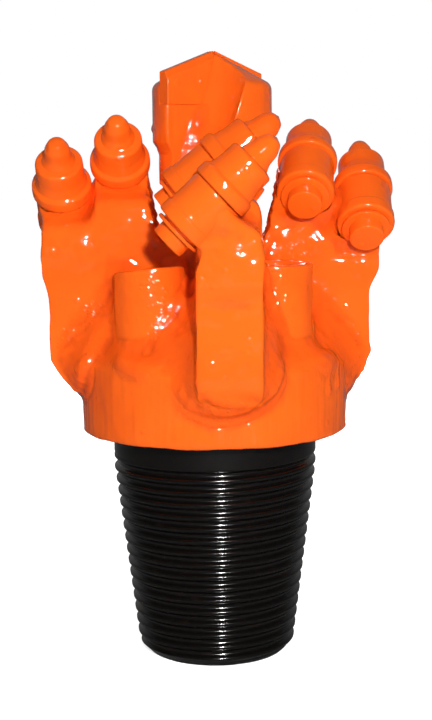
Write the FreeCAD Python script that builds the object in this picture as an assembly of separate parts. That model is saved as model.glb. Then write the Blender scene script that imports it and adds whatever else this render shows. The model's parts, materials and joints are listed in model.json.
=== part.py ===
import FreeCAD, Part
import math
import os
from FreeCAD import Vector

# Claw bit for rotary drilling, in millimetres.
# The frame: +Z up, origin at the centre of the pin's small end face. The bit stands on its pin with
# the cutting head up. Seen from +Z the teeth point anticlockwise.
# Every arm is drawn in its own frame first: X runs outwards, Y runs the way the teeth cut, Z up.

# Threaded pin: a tapered rotary shouldered connection
PIN_LENGTH = 95.25
PIN_END_DIAMETER = 65.07
PIN_BASE_DIAMETER = 84.9
PIN_TAPER_ON_DIAMETER = 0.25
PIN_END_CHAMFER = 3.4
THREAD_PITCH = 5.08
THREAD_DEPTH = 1.5
THREAD_CREST = 1.9
THREAD_FLANK_ANGLE = 30.0
THREAD_PLAIN_LENGTH = 9.5
WATER_BORE_DIAMETER = 38.1
WATER_BORE_DEPTH = 97.0
DRILL_POINT_ANGLE = 118.0

# Collar above the shoulder
COLLAR_DIAMETER = 111.1
COLLAR_HEIGHT = 30.75
COLLAR_LOWER_ROUND = 3.0
COLLAR_UPPER_CHAMFER = 1.5

# Jet tubes between the arms and the drilled passages that feed them
TUBE_DIAMETER = 28.7
TUBE_BORE = 18.0
TUBE_CIRCLE_RADIUS = 36.0
TUBE_HEIGHT = 38.0
TUBE_ANGLE = 45.0
PASSAGE_DIAMETER = 9.0
PASSAGE_START_RADIUS = 14.0
PASSAGE_START_RISE = 3.0
TUBE_WELD_LEG = 7.0
TUBE_WELD_HEIGHT = 8.5

# How far each hand-cut tube top is out of level in degrees, and its own extra height
TUBE_CUTS = {
    "front_left": (8.0, -0.7),
    "front_right": (1.0, 1.6),
    "back_right": (3.0, 0.0),
    "back_left": (-2.0, 0.5),
}

# Arms: plates that stand on the collar and carry two tooth holders each
ARM_THICKNESS = 25.3
ARM_SHIFT = 5.9
ARM_OVERHANG = 11.25
ARM_TOE_DROP = 13.5
ARM_TOE_RADIUS = 61.5
ARM_TOE_ROUND = 1.5
ARM_EDGE_START = 5.5
ARM_EDGE_BEND = 7.0
ARM_STEP_START = 27.0
ARM_STEP_RISE = 8.0
ARM_EDGE_ROUND = 2.4
ARM_ELBOW_BULGE = 0.8
ARM_ELBOW_DROP = 14.0
ARM_NECK_DROP = 24.0
FINGER_INSET = 1.4
FINGER_SLOT_WIDTH = 2.8
FINGER_SLOT_ROUND = 1.3
SLOT_BOTTOM_DROP = 13.0
ARM_CROTCH_RISE = 5.0
ARM_CROTCH_STEP = 2.0
ARM_DRAFT_HEIGHT = 26.0
ARM_INNER_DRAFT = 6.2

# Weld build-up along each arm face and round the toe
ARM_WELD_LEG = 6.5
ARM_WELD_TOP = 26.5
ARM_WELD_SHOULDER_RADIUS = 41.5
ARM_WELD_SET_IN = 4.6
ARM_WELD_FOOT = 1.8
ARM_WELD_TAPER = 6.0
TOE_BEAD_DROP = 4.2
TOE_BEAD_LAP = 2.6

# Teeth: a turned body with a round shank, a flange and a nose that holds the hard tip
SHANK_DIAMETER = 16.0
SHANK_RUNNING_CLEARANCE = 0.06
FLANGE_DIAMETER = 24.6
FLANGE_THICKNESS = 4.8
FLANGE_EDGE = 0.6
FLANGE_GAP = 0.4
NOSE_DIAMETER = 19.4
NOSE_LENGTH = 17.5
NOSE_ROOT_DIAMETER = 21.6
NOSE_ROOT_LENGTH = 4.4
NOSE_RIM = 0.9
NOSE_DISH = 0.5
TIP_SEAT_DIAMETER = 12.8
TIP_SEAT_DEPTH = 6.0
TIP_CLEARANCE = 0.05
TIP_BASE_DIAMETER = 13.6
TIP_WAIST_DIAMETER = 11.2
TIP_WAIST_LENGTH = 3.2
TIP_CROWN_DIAMETER = 9.4
TIP_CROWN_LENGTH = 8.2
TIP_POINT_DIAMETER = 4.6
TIP_LENGTH = 12.2

# Holder: the round block that the shank turns in, and the split ring that keeps it there
HOLDER_LENGTH = 20.0
HOLDER_DIAMETER = 22.4
HOLDER_COLLAR_DIAMETER = 23.4
HOLDER_COLLAR_LENGTH = 5.4
HOLDER_EDGE = 0.9
RING_DIAMETER = 19.6
RING_THICKNESS = 1.3
RING_STAND_OFF = 0.5
RING_OPENING = 58.0
RING_OPENING_MIDDLE = 52.0
RING_CLEARANCE = 0.1
GROOVE_DIAMETER = 12.0
SHANK_END_DIAMETER = 14.0
SHANK_END_LENGTH = 5.0

# Seats of the inner and outer tooth of every arm, measured to the centre of the flange's back face.
# Attack is the rise of the tooth's axis in degrees, splay its turn outwards seen from above.
INNER_TOOTH_RADIUS = 37.7
TOOTH_ROW_GAP = 1.6
OUTER_TOOTH_RADIUS = INNER_TOOTH_RADIUS + HOLDER_DIAMETER + TOOTH_ROW_GAP
TOOTH_SEATS = {
    "outer": {
        "radius": OUTER_TOOTH_RADIUS, "shift": 2.3, "height": 68.1, "attack": 43.2, "splay": 0.0,
    },
    "inner": {
        "radius": INNER_TOOTH_RADIUS, "shift": 2.45, "height": 78.1, "attack": 38.5, "splay": 0.0,
    },
}

# How far the right arm's hand-set holders stand off the seats of the other arms
RIGHT_ARM_TRIM = {
    "outer": {"radius": 0.6, "height": -1.9, "attack": -1.0, "splay": 1.0},
    "inner": {"radius": 1.5, "height": -0.6, "attack": -2.0, "splay": 6.5},
}

# Pilot in the middle of the head, with two brazed cutting plates
PILOT_SOCKET_DIAMETER = 40.0
PILOT_SOCKET_HEIGHT = 46.0
PILOT_STEM_DIAMETER = 30.0
PILOT_STEM_CLEARANCE = 0.1
PILOT_NECK_DIAMETER = 43.8
PILOT_NECK_START = 70.0
PILOT_NECK_LENGTH = 13.5
PILOT_SHOULDER_RISE = 4.0
PILOT_DIAMETER = 48.9
PILOT_BODY_LENGTH = 22.9
PILOT_CONE_SLOPE = 29.0
PILOT_CORNER_ROUND = 4.0
PILOT_AZIMUTH = 216.0
WING_FACE = 3.0
FLUTE_TILT = 20.2
FLUTE_ROOT_AT_APEX = 0.2
FLUTE_WALL_LEAN = 4.0
FLUTE_WALL_BOW = 5.6
PLATE_THICKNESS = 6.0
PLATE_PROUD = 0.8
PLATE_HEIGHT_OUTER = 13.0
PLATE_TOP_SLOPE = 19.6
PLATE_BEVEL_HEIGHT = 2.6
PLATE_BEVEL_DEPTH = 2.0
PLATE_OUTSIDE = 24.3

# Values worked out from the sizes above
CUT_MARGIN = 30.0
COLLAR_TOP = PIN_LENGTH + COLLAR_HEIGHT
COLLAR_RADIUS = COLLAR_DIAMETER / 2
ARM_LOW_FACE = ARM_SHIFT - ARM_THICKNESS / 2
ARM_HIGH_FACE = ARM_SHIFT + ARM_THICKNESS / 2
ARM_EDGE_RADIUS = COLLAR_RADIUS + ARM_OVERHANG
SHANK_RADIUS = SHANK_DIAMETER / 2
RING_FACE = HOLDER_LENGTH + RING_STAND_OFF
SHANK_END = RING_FACE + RING_THICKNESS + RING_CLEARANCE + SHANK_END_LENGTH
ARM_ANGLES = {"front": -90.0, "right": 0.0, "back": 90.0, "left": 180.0}
TUBE_AHEAD_OF_ARM = {
    "left": "front_left",
    "front": "front_right",
    "right": "back_right",
    "back": "back_left",
}
ARM_STEP_ANGLE = 360.0 / len(ARM_ANGLES)


def rounded_wire(corners, to_point):
    """Closed wire through corners (a, b) or (a, b, radius); a radius rounds its corner with an arc."""
    flat = [Vector(c[0], c[1], 0) for c in corners]
    radii = [c[2] if len(c) > 2 else 0.0 for c in corners]
    edges = []
    joints = []
    for i, corner in enumerate(flat):
        before = (flat[i - 1] - corner).normalize()
        after = (flat[(i + 1) % len(flat)] - corner).normalize()
        if radii[i] == 0.0:
            joints.append((corner, None, corner))
            continue
        half = before.getAngle(after) / 2
        inward = (before + after).normalize()
        middle = corner + inward * (radii[i] / math.sin(half) - radii[i])
        reach = radii[i] / math.tan(half)
        joints.append((corner + before * reach, middle, corner + after * reach))
    for i, (start, middle, end) in enumerate(joints):
        if middle is not None:
            arc = Part.Arc(*[to_point(p.x, p.y) for p in (start, middle, end)])
            edges.append(arc.toShape())
        following = joints[(i + 1) % len(joints)][0]
        if end.distanceToPoint(following) > 1e-6:
            side = Part.LineSegment(to_point(end.x, end.y), to_point(following.x, following.y))
            edges.append(side.toShape())
    return Part.Wire(edges)


def upright(a, b):
    """Point of a profile in the X-Z plane."""
    return Vector(a, 0, b)


def edgewise(a, b):
    """Point of a profile in the Y-Z plane."""
    return Vector(0, a, b)


def level(a, b):
    """Point of a profile in the X-Y plane."""
    return Vector(a, b, 0)


def turned(corners):
    """Solid of revolution about Z from corners (radius, height)."""
    face = Part.Face(rounded_wire(corners, upright))
    return face.revolve(Vector(0, 0, 0), Vector(0, 0, 1), 360)


def prism(corners, to_point, start, length):
    """Prism of a rounded outline that starts at the vector start and runs along the vector length."""
    face = Part.Face(rounded_wire(corners, to_point))
    face.translate(start)
    return face.extrude(length)


def bar(radius, foot, height):
    """Upright round bar with its foot at the vector foot."""
    return Part.makeCylinder(radius, height, foot, Vector(0, 0, 1))


def about_axis(shape, degrees):
    """Copy of a shape turned about the bit's axis."""
    copy = shape.copy()
    copy.rotate(Vector(0, 0, 0), Vector(0, 0, 1), degrees)
    return copy


def pin_radius(height):
    """Radius of the pin's taper at a height above its end."""
    return PIN_END_DIAMETER / 2 + height * PIN_TAPER_ON_DIAMETER / 2


def tube_centre(height):
    """Centre of the jet tube that stands ahead of an arm, in the arm's frame."""
    angle = math.radians(TUBE_ANGLE)
    return Vector(TUBE_CIRCLE_RADIUS * math.cos(angle), TUBE_CIRCLE_RADIUS * math.sin(angle), height)


def water_passage():
    """Slanted hole from the top of the water bore to the foot of the jet tube ahead of an arm."""
    angle = math.radians(TUBE_ANGLE)
    outlet = tube_centre(COLLAR_TOP)
    inlet = Vector(
        PASSAGE_START_RADIUS * math.cos(angle),
        PASSAGE_START_RADIUS * math.sin(angle),
        WATER_BORE_DEPTH + PASSAGE_START_RISE,
    )
    run = outlet - inlet
    beyond = run.Length + PASSAGE_DIAMETER
    return Part.makeCylinder(PASSAGE_DIAMETER / 2, beyond, inlet, run)


def thread_groove():
    """Right-handed groove along the pin's taper, from below the pin's end to its last turn."""
    start = -THREAD_PITCH
    run = PIN_LENGTH - THREAD_PLAIN_LENGTH - start
    half_taper = math.degrees(math.atan(PIN_TAPER_ON_DIAMETER / 2))
    spine = Part.makeHelix(THREAD_PITCH, run, pin_radius(start), half_taper)
    spine.translate(Vector(0, 0, start))
    slope = math.tan(math.radians(THREAD_FLANK_ANGLE))
    proud = THREAD_CREST / 2
    mouth = (THREAD_PITCH - THREAD_CREST) / 2
    root = pin_radius(start) - THREAD_DEPTH
    outside = pin_radius(start) + proud
    section = rounded_wire(
        [
            (root, start - mouth + THREAD_DEPTH * slope),
            (outside, start - mouth - proud * slope),
            (outside, start + mouth + proud * slope),
            (root, start + mouth - THREAD_DEPTH * slope),
        ],
        upright,
    )
    sweep = Part.BRepOffsetAPI.MakePipeShell(Part.Wire(spine.Edges))
    sweep.setFrenetMode(True)
    sweep.add(section)
    sweep.build()
    sweep.makeSolid()
    return sweep.shape()


def threaded_pin():
    """Tapered pin with its thread and the plain round base under the collar."""
    cone = turned(
        [
            (0, 0),
            (pin_radius(0) - PIN_END_CHAMFER, 0),
            (pin_radius(PIN_END_CHAMFER), PIN_END_CHAMFER),
            (pin_radius(PIN_LENGTH), PIN_LENGTH),
            (0, PIN_LENGTH),
        ]
    )
    base = PIN_BASE_DIAMETER / 2
    base_start = (PIN_BASE_DIAMETER - PIN_END_DIAMETER) / PIN_TAPER_ON_DIAMETER
    foot = Vector(0, 0, base_start)
    over_base = bar(COLLAR_RADIUS, foot, PIN_LENGTH - base_start)
    over_base = over_base.cut(bar(base, foot, PIN_LENGTH - base_start))
    return cone.cut(thread_groove()).cut(over_base)


def pin_and_collar():
    """Threaded pin and collar, turned from one piece, with the water bore and its four passages."""
    collar = turned(
        [
            (0, PIN_LENGTH),
            (COLLAR_RADIUS, PIN_LENGTH, COLLAR_LOWER_ROUND),
            (COLLAR_RADIUS, COLLAR_TOP - COLLAR_UPPER_CHAMFER),
            (COLLAR_RADIUS - COLLAR_UPPER_CHAMFER, COLLAR_TOP),
            (0, COLLAR_TOP),
        ]
    )
    bore = WATER_BORE_DIAMETER / 2
    point = bore / math.tan(math.radians(DRILL_POINT_ANGLE / 2))
    waterway = turned(
        [(0, -CUT_MARGIN), (bore, -CUT_MARGIN), (bore, WATER_BORE_DEPTH), (0, WATER_BORE_DEPTH + point)]
    )
    passages = [about_axis(water_passage(), angle) for angle in ARM_ANGLES.values()]
    return threaded_pin().fuse(collar).cut([waterway] + passages)


def tube_blank(tilt, extra):
    """Solid bar of a jet tube in the frame of the arm behind it, its top sawn out of level."""
    foot = tube_centre(COLLAR_TOP)
    height = TUBE_HEIGHT + extra
    saw = Part.makeBox(4 * TUBE_DIAMETER, 4 * TUBE_DIAMETER, 2 * TUBE_DIAMETER)
    saw.translate(Vector(-2 * TUBE_DIAMETER, -2 * TUBE_DIAMETER, 0))
    saw.rotate(Vector(0, 0, 0), tube_centre(0), tilt)
    saw.translate(foot + Vector(0, 0, height))
    return bar(TUBE_DIAMETER / 2, foot, height + TUBE_DIAMETER).cut(saw)


def jet_tube(blank):
    """Jet tube bored out of its bar."""
    return blank.cut(bar(TUBE_BORE / 2, tube_centre(COLLAR_TOP), TUBE_HEIGHT + TUBE_DIAMETER))


def tube_seat():
    """Room that a jet tube takes out of the welds beside it."""
    return bar(TUBE_DIAMETER / 2, tube_centre(COLLAR_TOP), TUBE_HEIGHT)


def tube_weld():
    """Weld fillet round the foot of a jet tube."""
    foot = tube_centre(COLLAR_TOP)
    radius = TUBE_DIAMETER / 2
    fillet = Part.makeCone(radius + TUBE_WELD_LEG, radius, TUBE_WELD_HEIGHT, foot, Vector(0, 0, 1))
    within = bar(COLLAR_RADIUS - COLLAR_UPPER_CHAMFER, Vector(0, 0, COLLAR_TOP), TUBE_WELD_HEIGHT)
    return fillet.common(within).cut(bar(radius, foot, TUBE_WELD_HEIGHT))


def collar_room():
    """Plain bar the size of the collar, which everything on the collar stands clear of."""
    return bar(COLLAR_RADIUS, Vector(0, 0, PIN_LENGTH), COLLAR_HEIGHT)


def socket_room():
    """Plain bar the size of the pilot's socket, which the arms and welds stand clear of."""
    return bar(PILOT_SOCKET_DIAMETER / 2, Vector(0, 0, COLLAR_TOP), PILOT_SOCKET_HEIGHT)


def pilot_socket():
    """Sleeve on the collar that holds the pilot's stem."""
    hole = PILOT_STEM_DIAMETER / 2 + PILOT_STEM_CLEARANCE
    return socket_room().cut(bar(hole, Vector(0, 0, COLLAR_TOP), PILOT_SOCKET_HEIGHT))


def seat_point(seat, along, across):
    """Point (shift, height) of an arm's side view, along a tooth's axis and square to it."""
    attack = math.radians(seat["attack"])
    shift = seat["shift"] + along * math.cos(attack) + across * math.sin(attack)
    height = COLLAR_TOP + seat["height"] + along * math.sin(attack) - across * math.cos(attack)
    return (shift, height)


def on_tooth_axis(shape, seat):
    """Move a shape drawn along Z from the flange's back face onto a tooth's axis in the arm's frame."""
    copy = shape.copy()
    splay = FreeCAD.Rotation(Vector(0, 0, 1), -seat["splay"])
    turn = splay.multiply(FreeCAD.Rotation(Vector(1, 0, 0), seat["attack"] - 90))
    middle = Vector(seat["radius"], seat["shift"], COLLAR_TOP + seat["height"])
    copy.Placement = FreeCAD.Placement(middle, turn)
    return copy


def holder_block():
    """Outside of a tooth holder along Z: a round block with a thicker collar at its back."""
    body = HOLDER_DIAMETER / 2
    collar = HOLDER_COLLAR_DIAMETER / 2
    collar_front = HOLDER_COLLAR_LENGTH - HOLDER_LENGTH
    return turned(
        [
            (0, -HOLDER_LENGTH),
            (collar - HOLDER_EDGE, -HOLDER_LENGTH),
            (collar, HOLDER_EDGE - HOLDER_LENGTH),
            (collar, collar_front),
            (body, collar_front + collar - body),
            (body, -FLANGE_GAP),
            (0, -FLANGE_GAP),
        ]
    )


def holder():
    """Tooth holder with its bore."""
    bore = SHANK_RADIUS + SHANK_RUNNING_CLEARANCE
    hole = bar(bore, Vector(0, 0, -HOLDER_LENGTH - CUT_MARGIN), HOLDER_LENGTH + 2 * CUT_MARGIN)
    return holder_block().cut(hole)


def tooth():
    """Steel body of a round-shank tooth along Z: shank, flange, nose and the pocket for the tip."""
    flange = FLANGE_DIAMETER / 2
    nose = NOSE_DIAMETER / 2
    pocket = TIP_SEAT_DIAMETER / 2
    end = SHANK_END_DIAMETER / 2
    ring_back = -RING_FACE - RING_THICKNESS - RING_CLEARANCE
    return turned(
        [
            (0, -SHANK_END),
            (end, -SHANK_END),
            (end, ring_back),
            (GROOVE_DIAMETER / 2, ring_back),
            (GROOVE_DIAMETER / 2, RING_CLEARANCE - RING_FACE),
            (SHANK_RADIUS, RING_CLEARANCE - RING_FACE),
            (SHANK_RADIUS, 0),
            (flange, 0),
            (flange, FLANGE_THICKNESS - FLANGE_EDGE),
            (flange - FLANGE_EDGE, FLANGE_THICKNESS),
            (NOSE_ROOT_DIAMETER / 2, FLANGE_THICKNESS + FLANGE_EDGE),
            (nose, FLANGE_THICKNESS + NOSE_ROOT_LENGTH),
            (nose, NOSE_LENGTH - NOSE_RIM),
            (nose - NOSE_RIM, NOSE_LENGTH),
            (pocket, NOSE_LENGTH + NOSE_DISH),
            (pocket, NOSE_LENGTH - TIP_SEAT_DEPTH),
            (0, NOSE_LENGTH - TIP_SEAT_DEPTH),
        ]
    )


def tooth_tip():
    """Hard-metal tip along Z, brazed into the tooth's pocket."""
    stem = TIP_SEAT_DIAMETER / 2 - TIP_CLEARANCE
    bottom = NOSE_LENGTH - TIP_SEAT_DEPTH + TIP_CLEARANCE
    rim = NOSE_LENGTH + NOSE_DISH + TIP_CLEARANCE
    return turned(
        [
            (0, bottom),
            (stem, bottom),
            (stem, rim),
            (TIP_BASE_DIAMETER / 2, rim),
            (TIP_WAIST_DIAMETER / 2, rim + TIP_WAIST_LENGTH),
            (TIP_CROWN_DIAMETER / 2, NOSE_LENGTH + TIP_CROWN_LENGTH),
            (TIP_POINT_DIAMETER / 2, NOSE_LENGTH + TIP_LENGTH),
            (0, NOSE_LENGTH + TIP_LENGTH),
        ]
    )


def retaining_ring():
    """Split ring along Z that sits in the shank's groove behind the holder."""
    hole = GROOVE_DIAMETER / 2 + RING_CLEARANCE
    start = Vector(0, 0, -RING_FACE - RING_THICKNESS)
    washer = Part.makeCylinder(RING_DIAMETER / 2, RING_THICKNESS, start, Vector(0, 0, 1))
    washer = washer.cut(Part.makeCylinder(hole, RING_THICKNESS, start, Vector(0, 0, 1)))
    half = math.radians(RING_OPENING / 2)
    reach = RING_DIAMETER
    wedge = prism(
        [(0, 0), (reach, -reach * math.tan(half)), (reach, reach * math.tan(half))],
        level,
        start,
        Vector(0, 0, RING_THICKNESS),
    )
    wedge.rotate(Vector(0, 0, 0), Vector(0, 0, 1), RING_OPENING_MIDDLE)
    return washer.cut(wedge)


def finger_side(seat, near, far):
    """Side view of an arm under one tooth, run out from radius near to radius far."""
    grip = HOLDER_DIAMETER / 2
    back = HOLDER_COLLAR_DIAMETER / 2 - HOLDER_EDGE
    foot = COLLAR_TOP - ARM_TOE_DROP - CUT_MARGIN
    top = COLLAR_TOP + seat["height"]
    rear = HOLDER_EDGE - HOLDER_LENGTH
    front = -FLANGE_GAP - HOLDER_EDGE
    corners = [
        (ARM_LOW_FACE, foot),
        (ARM_HIGH_FACE, foot),
        (ARM_HIGH_FACE, top - ARM_NECK_DROP - ARM_ELBOW_DROP / 2),
        (ARM_HIGH_FACE + ARM_ELBOW_BULGE, top - ARM_NECK_DROP, ARM_ELBOW_DROP),
        (ARM_HIGH_FACE, top - ARM_ELBOW_DROP, ARM_EDGE_ROUND * 2),
        seat_point(seat, front, grip),
        seat_point(seat, front, 0),
        seat_point(seat, rear, 0),
        seat_point(seat, rear, back),
        (ARM_LOW_FACE, top - ARM_NECK_DROP - ARM_ELBOW_DROP / 4, ARM_EDGE_ROUND),
    ]
    return prism(corners, edgewise, Vector(near, 0, 0), Vector(far - near, 0, 0))


def arm_front_view():
    """Arm plate seen square to its face: toe, outer edge, two fingers with a slot, inner edge."""
    outer = TOOTH_SEATS["outer"]
    inner = TOOTH_SEATS["inner"]
    grip = HOLDER_DIAMETER / 2
    finger_out = outer["radius"] + grip - FINGER_INSET
    between = (outer["radius"] + inner["radius"]) / 2
    slot_out = between + FINGER_SLOT_WIDTH / 2
    slot_in = between - FINGER_SLOT_WIDTH / 2
    slot_round = min(FINGER_SLOT_ROUND, FINGER_SLOT_WIDTH * 0.49)
    finger_in = inner["radius"] - grip
    slot_bottom = COLLAR_TOP + outer["height"] - SLOT_BOTTOM_DROP
    crotch = COLLAR_TOP + PILOT_SOCKET_HEIGHT
    hub = PILOT_SOCKET_DIAMETER / 2
    above = COLLAR_TOP + inner["height"] + CUT_MARGIN
    corners = [
        (0, COLLAR_TOP),
        (0, COLLAR_TOP - ARM_TOE_DROP),
        (ARM_TOE_RADIUS, COLLAR_TOP - ARM_TOE_DROP, ARM_TOE_ROUND),
        (ARM_EDGE_RADIUS, COLLAR_TOP - ARM_EDGE_START, ARM_EDGE_BEND),
        (ARM_EDGE_RADIUS, COLLAR_TOP + ARM_STEP_START, ARM_STEP_RISE),
        (finger_out, COLLAR_TOP + ARM_STEP_START + ARM_STEP_RISE, ARM_STEP_RISE),
        (finger_out, above),
        (slot_out, above),
        (slot_out, slot_bottom, slot_round),
        (slot_in, slot_bottom, slot_round),
        (slot_in, above),
        (finger_in, above),
        (finger_in, crotch + ARM_DRAFT_HEIGHT),
        (finger_in - ARM_INNER_DRAFT + ARM_CROTCH_STEP, crotch + ARM_CROTCH_RISE),
        (hub, crotch),
        (0, crotch),
    ]
    start = Vector(0, ARM_LOW_FACE - CUT_MARGIN, 0)
    return prism(corners, upright, start, Vector(0, ARM_THICKNESS + 2 * CUT_MARGIN, 0))


def seats_of(arm_name):
    """Tooth seats of one arm: the common ones, and on the right arm with its trim."""
    if arm_name != "right":
        return TOOTH_SEATS
    trimmed = {}
    for row, seat in TOOTH_SEATS.items():
        trim = RIGHT_ARM_TRIM[row]
        trimmed[row] = {size: value + trim.get(size, 0.0) for size, value in seat.items()}
    return trimmed


def arm(seats, tube_ahead):
    """One arm plate with its two fingers, seated round the holders, its jet tube and the collar."""
    outer = seats["outer"]
    inner = seats["inner"]
    between = (OUTER_TOOTH_RADIUS + INNER_TOOTH_RADIUS) / 2
    far = ARM_EDGE_RADIUS + CUT_MARGIN
    sides = finger_side(outer, between, far).fuse(finger_side(inner, 0, between))
    body = sides.common(arm_front_view())
    for seat in seats.values():
        body = body.cut(on_tooth_axis(holder_block(), seat))
    return body.cut([collar_room(), socket_room(), tube_ahead])


def face_weld(face, outwards):
    """Weld ramp along one face of an arm, thickest against the plate and thin at its outer line."""
    foot = COLLAR_TOP - ARM_TOE_DROP
    shoulder = COLLAR_TOP + ARM_WELD_TOP
    root = PILOT_SOCKET_DIAMETER / 2 + ARM_WELD_SET_IN * 2
    edge = ARM_EDGE_RADIUS - ARM_WELD_SET_IN
    thick = [
        (root, foot + ARM_WELD_TAPER),
        (root, shoulder),
        (ARM_WELD_SHOULDER_RADIUS, shoulder),
        (edge, COLLAR_TOP + ARM_WELD_FOOT),
        (edge, COLLAR_TOP - ARM_WELD_TAPER),
        (COLLAR_RADIUS + ARM_WELD_FOOT, foot + ARM_WELD_FOOT),
        (COLLAR_RADIUS - ARM_WELD_SET_IN, foot + ARM_WELD_FOOT),
    ]
    thin = [
        (root, foot + ARM_WELD_TAPER),
        (root, shoulder - ARM_WELD_TAPER),
        (ARM_WELD_SHOULDER_RADIUS - ARM_WELD_TAPER, shoulder - ARM_WELD_TAPER),
        (COLLAR_RADIUS - ARM_WELD_FOOT, COLLAR_TOP + ARM_WELD_FOOT / 2),
        (COLLAR_RADIUS + ARM_WELD_FOOT / 3, COLLAR_TOP - ARM_WELD_TAPER),
        (COLLAR_RADIUS + ARM_WELD_FOOT / 3, foot + ARM_WELD_TAPER),
        (COLLAR_RADIUS - ARM_WELD_SET_IN, foot + ARM_WELD_TAPER),
    ]
    near = rounded_wire(thick, upright)
    near.translate(Vector(0, face, 0))
    away = rounded_wire(thin, upright)
    away.translate(Vector(0, face + outwards * ARM_WELD_LEG, 0))
    return Part.makeLoft([near, away], True, True)


def toe_bead():
    """Weld bead under an arm's toe, across its whole thickness."""
    foot = COLLAR_TOP - ARM_TOE_DROP
    corners = [
        (COLLAR_RADIUS - ARM_WELD_SET_IN, foot - TOE_BEAD_DROP),
        (COLLAR_RADIUS + ARM_WELD_FOOT / 3, foot - TOE_BEAD_DROP),
        (ARM_TOE_RADIUS - ARM_TOE_ROUND, foot - TOE_BEAD_DROP / 3),
        (ARM_TOE_RADIUS, foot + TOE_BEAD_LAP),
        (COLLAR_RADIUS - ARM_WELD_SET_IN, foot + TOE_BEAD_LAP),
    ]
    start = Vector(0, ARM_LOW_FACE - ARM_WELD_LEG / 2, 0)
    return prism(corners, upright, start, Vector(0, ARM_THICKNESS + ARM_WELD_LEG, 0))


def arm_weld(plate):
    """Weld build-up that joins one arm to the collar, fitted round its neighbours."""
    weld = face_weld(ARM_HIGH_FACE, 1).fuse([face_weld(ARM_LOW_FACE, -1), toe_bead()])
    behind = about_axis(tube_seat(), -ARM_STEP_ANGLE)
    return weld.cut([plate, collar_room(), socket_room(), tube_seat(), behind])


def pilot_apex():
    """Height of the pilot's point."""
    neck_top = COLLAR_TOP + PILOT_NECK_START + PILOT_NECK_LENGTH
    body_top = neck_top + PILOT_SHOULDER_RISE + PILOT_BODY_LENGTH
    return body_top + PILOT_DIAMETER / 2 * math.tan(math.radians(PILOT_CONE_SLOPE))


def flute():
    """One pilot flute, cut straight down and outwards ahead of a wing's face."""
    apex = pilot_apex()
    run = math.tan(math.radians(FLUTE_TILT))
    start = apex + CUT_MARGIN / 2
    depth = start - COLLAR_TOP - PILOT_NECK_START + CUT_MARGIN / 2
    root = FLUTE_ROOT_AT_APEX - (start - apex) * run
    far = PILOT_DIAMETER
    wall = Part.Arc(
        Vector(root, WING_FACE, start),
        Vector(root - FLUTE_WALL_BOW, (WING_FACE + far / 2) / 2, start),
        Vector(root - FLUTE_WALL_LEAN, far / 2, start),
    ).toShape()
    rest = Part.makePolygon(
        [
            Vector(root - FLUTE_WALL_LEAN, far / 2, start),
            Vector(root - FLUTE_WALL_LEAN, far, start),
            Vector(root + 2 * far, far, start),
            Vector(root + 2 * far, WING_FACE, start),
            Vector(root, WING_FACE, start),
        ]
    )
    section = Part.Face(Part.Wire([wall] + rest.Edges))
    return section.extrude(Vector(depth * run, 0, -depth))


def plate_outline(apex):
    """Outline (outwards, height) of a cutting plate: slanted inner edge, sloping top, square foot."""
    run = math.tan(math.radians(FLUTE_TILT))
    fall = math.tan(math.radians(PLATE_TOP_SLOPE))
    top_outer = apex - PLATE_OUTSIDE * fall
    foot = top_outer - PLATE_HEIGHT_OUTER
    return [
        (FLUTE_ROOT_AT_APEX, apex),
        (FLUTE_ROOT_AT_APEX + (apex - foot) * run, foot),
        (PLATE_OUTSIDE, foot),
        (PLATE_OUTSIDE, top_outer),
    ]


def cutting_plate():
    """Hard-metal plate of one pilot wing, bevelled along its top front edge."""
    apex = pilot_apex()
    back = WING_FACE + PLATE_PROUD - PLATE_THICKNESS
    plate = prism(plate_outline(apex), upright, Vector(0, back, 0), Vector(0, PLATE_THICKNESS, 0))
    fall = math.tan(math.radians(PLATE_TOP_SLOPE))
    front = WING_FACE + PLATE_PROUD
    corners = [
        (front - PLATE_BEVEL_DEPTH, 0),
        (front + PLATE_BEVEL_DEPTH, -2 * PLATE_BEVEL_HEIGHT),
        (front + PLATE_BEVEL_DEPTH, PLATE_BEVEL_HEIGHT),
        (front - PLATE_BEVEL_DEPTH, PLATE_BEVEL_HEIGHT),
    ]
    start = Vector(-PILOT_DIAMETER, 0, 0)
    bevel = prism(corners, edgewise, start, Vector(PLATE_OUTSIDE + 2 * PILOT_DIAMETER, 0, 0))
    bevel.rotate(Vector(0, 0, 0), Vector(0, 1, 0), math.degrees(math.atan(fall)))
    bevel.translate(Vector(0, 0, apex))
    return plate.cut(bevel)


def plate_pocket():
    """Room for a cutting plate in the pilot, open to the front, the outside and the top."""
    apex = pilot_apex()
    corners = plate_outline(apex)
    corners[2] = (PLATE_OUTSIDE + CUT_MARGIN, corners[2][1])
    corners[3] = (PLATE_OUTSIDE + CUT_MARGIN, apex)
    back = WING_FACE + PLATE_PROUD - PLATE_THICKNESS
    return prism(corners, upright, Vector(0, back, 0), Vector(0, PLATE_THICKNESS, 0))


def pilot():
    """Pilot body: stem, neck, fluted body and coned top, with pockets for the two cutting plates."""
    neck_bottom = COLLAR_TOP + PILOT_NECK_START
    neck_top = neck_bottom + PILOT_NECK_LENGTH
    body_start = neck_top + PILOT_SHOULDER_RISE
    body_top = body_start + PILOT_BODY_LENGTH
    body = turned(
        [
            (0, COLLAR_TOP),
            (PILOT_STEM_DIAMETER / 2, COLLAR_TOP),
            (PILOT_STEM_DIAMETER / 2, neck_bottom),
            (PILOT_NECK_DIAMETER / 2, neck_bottom),
            (PILOT_NECK_DIAMETER / 2, neck_top),
            (PILOT_DIAMETER / 2, body_start),
            (PILOT_DIAMETER / 2, body_top, PILOT_CORNER_ROUND),
            (0, pilot_apex()),
        ]
    )
    cuts = []
    for half_turn in (0, 180):
        cuts.append(about_axis(flute(), half_turn))
        cuts.append(about_axis(plate_pocket(), half_turn))
    return body.cut(cuts)


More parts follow.
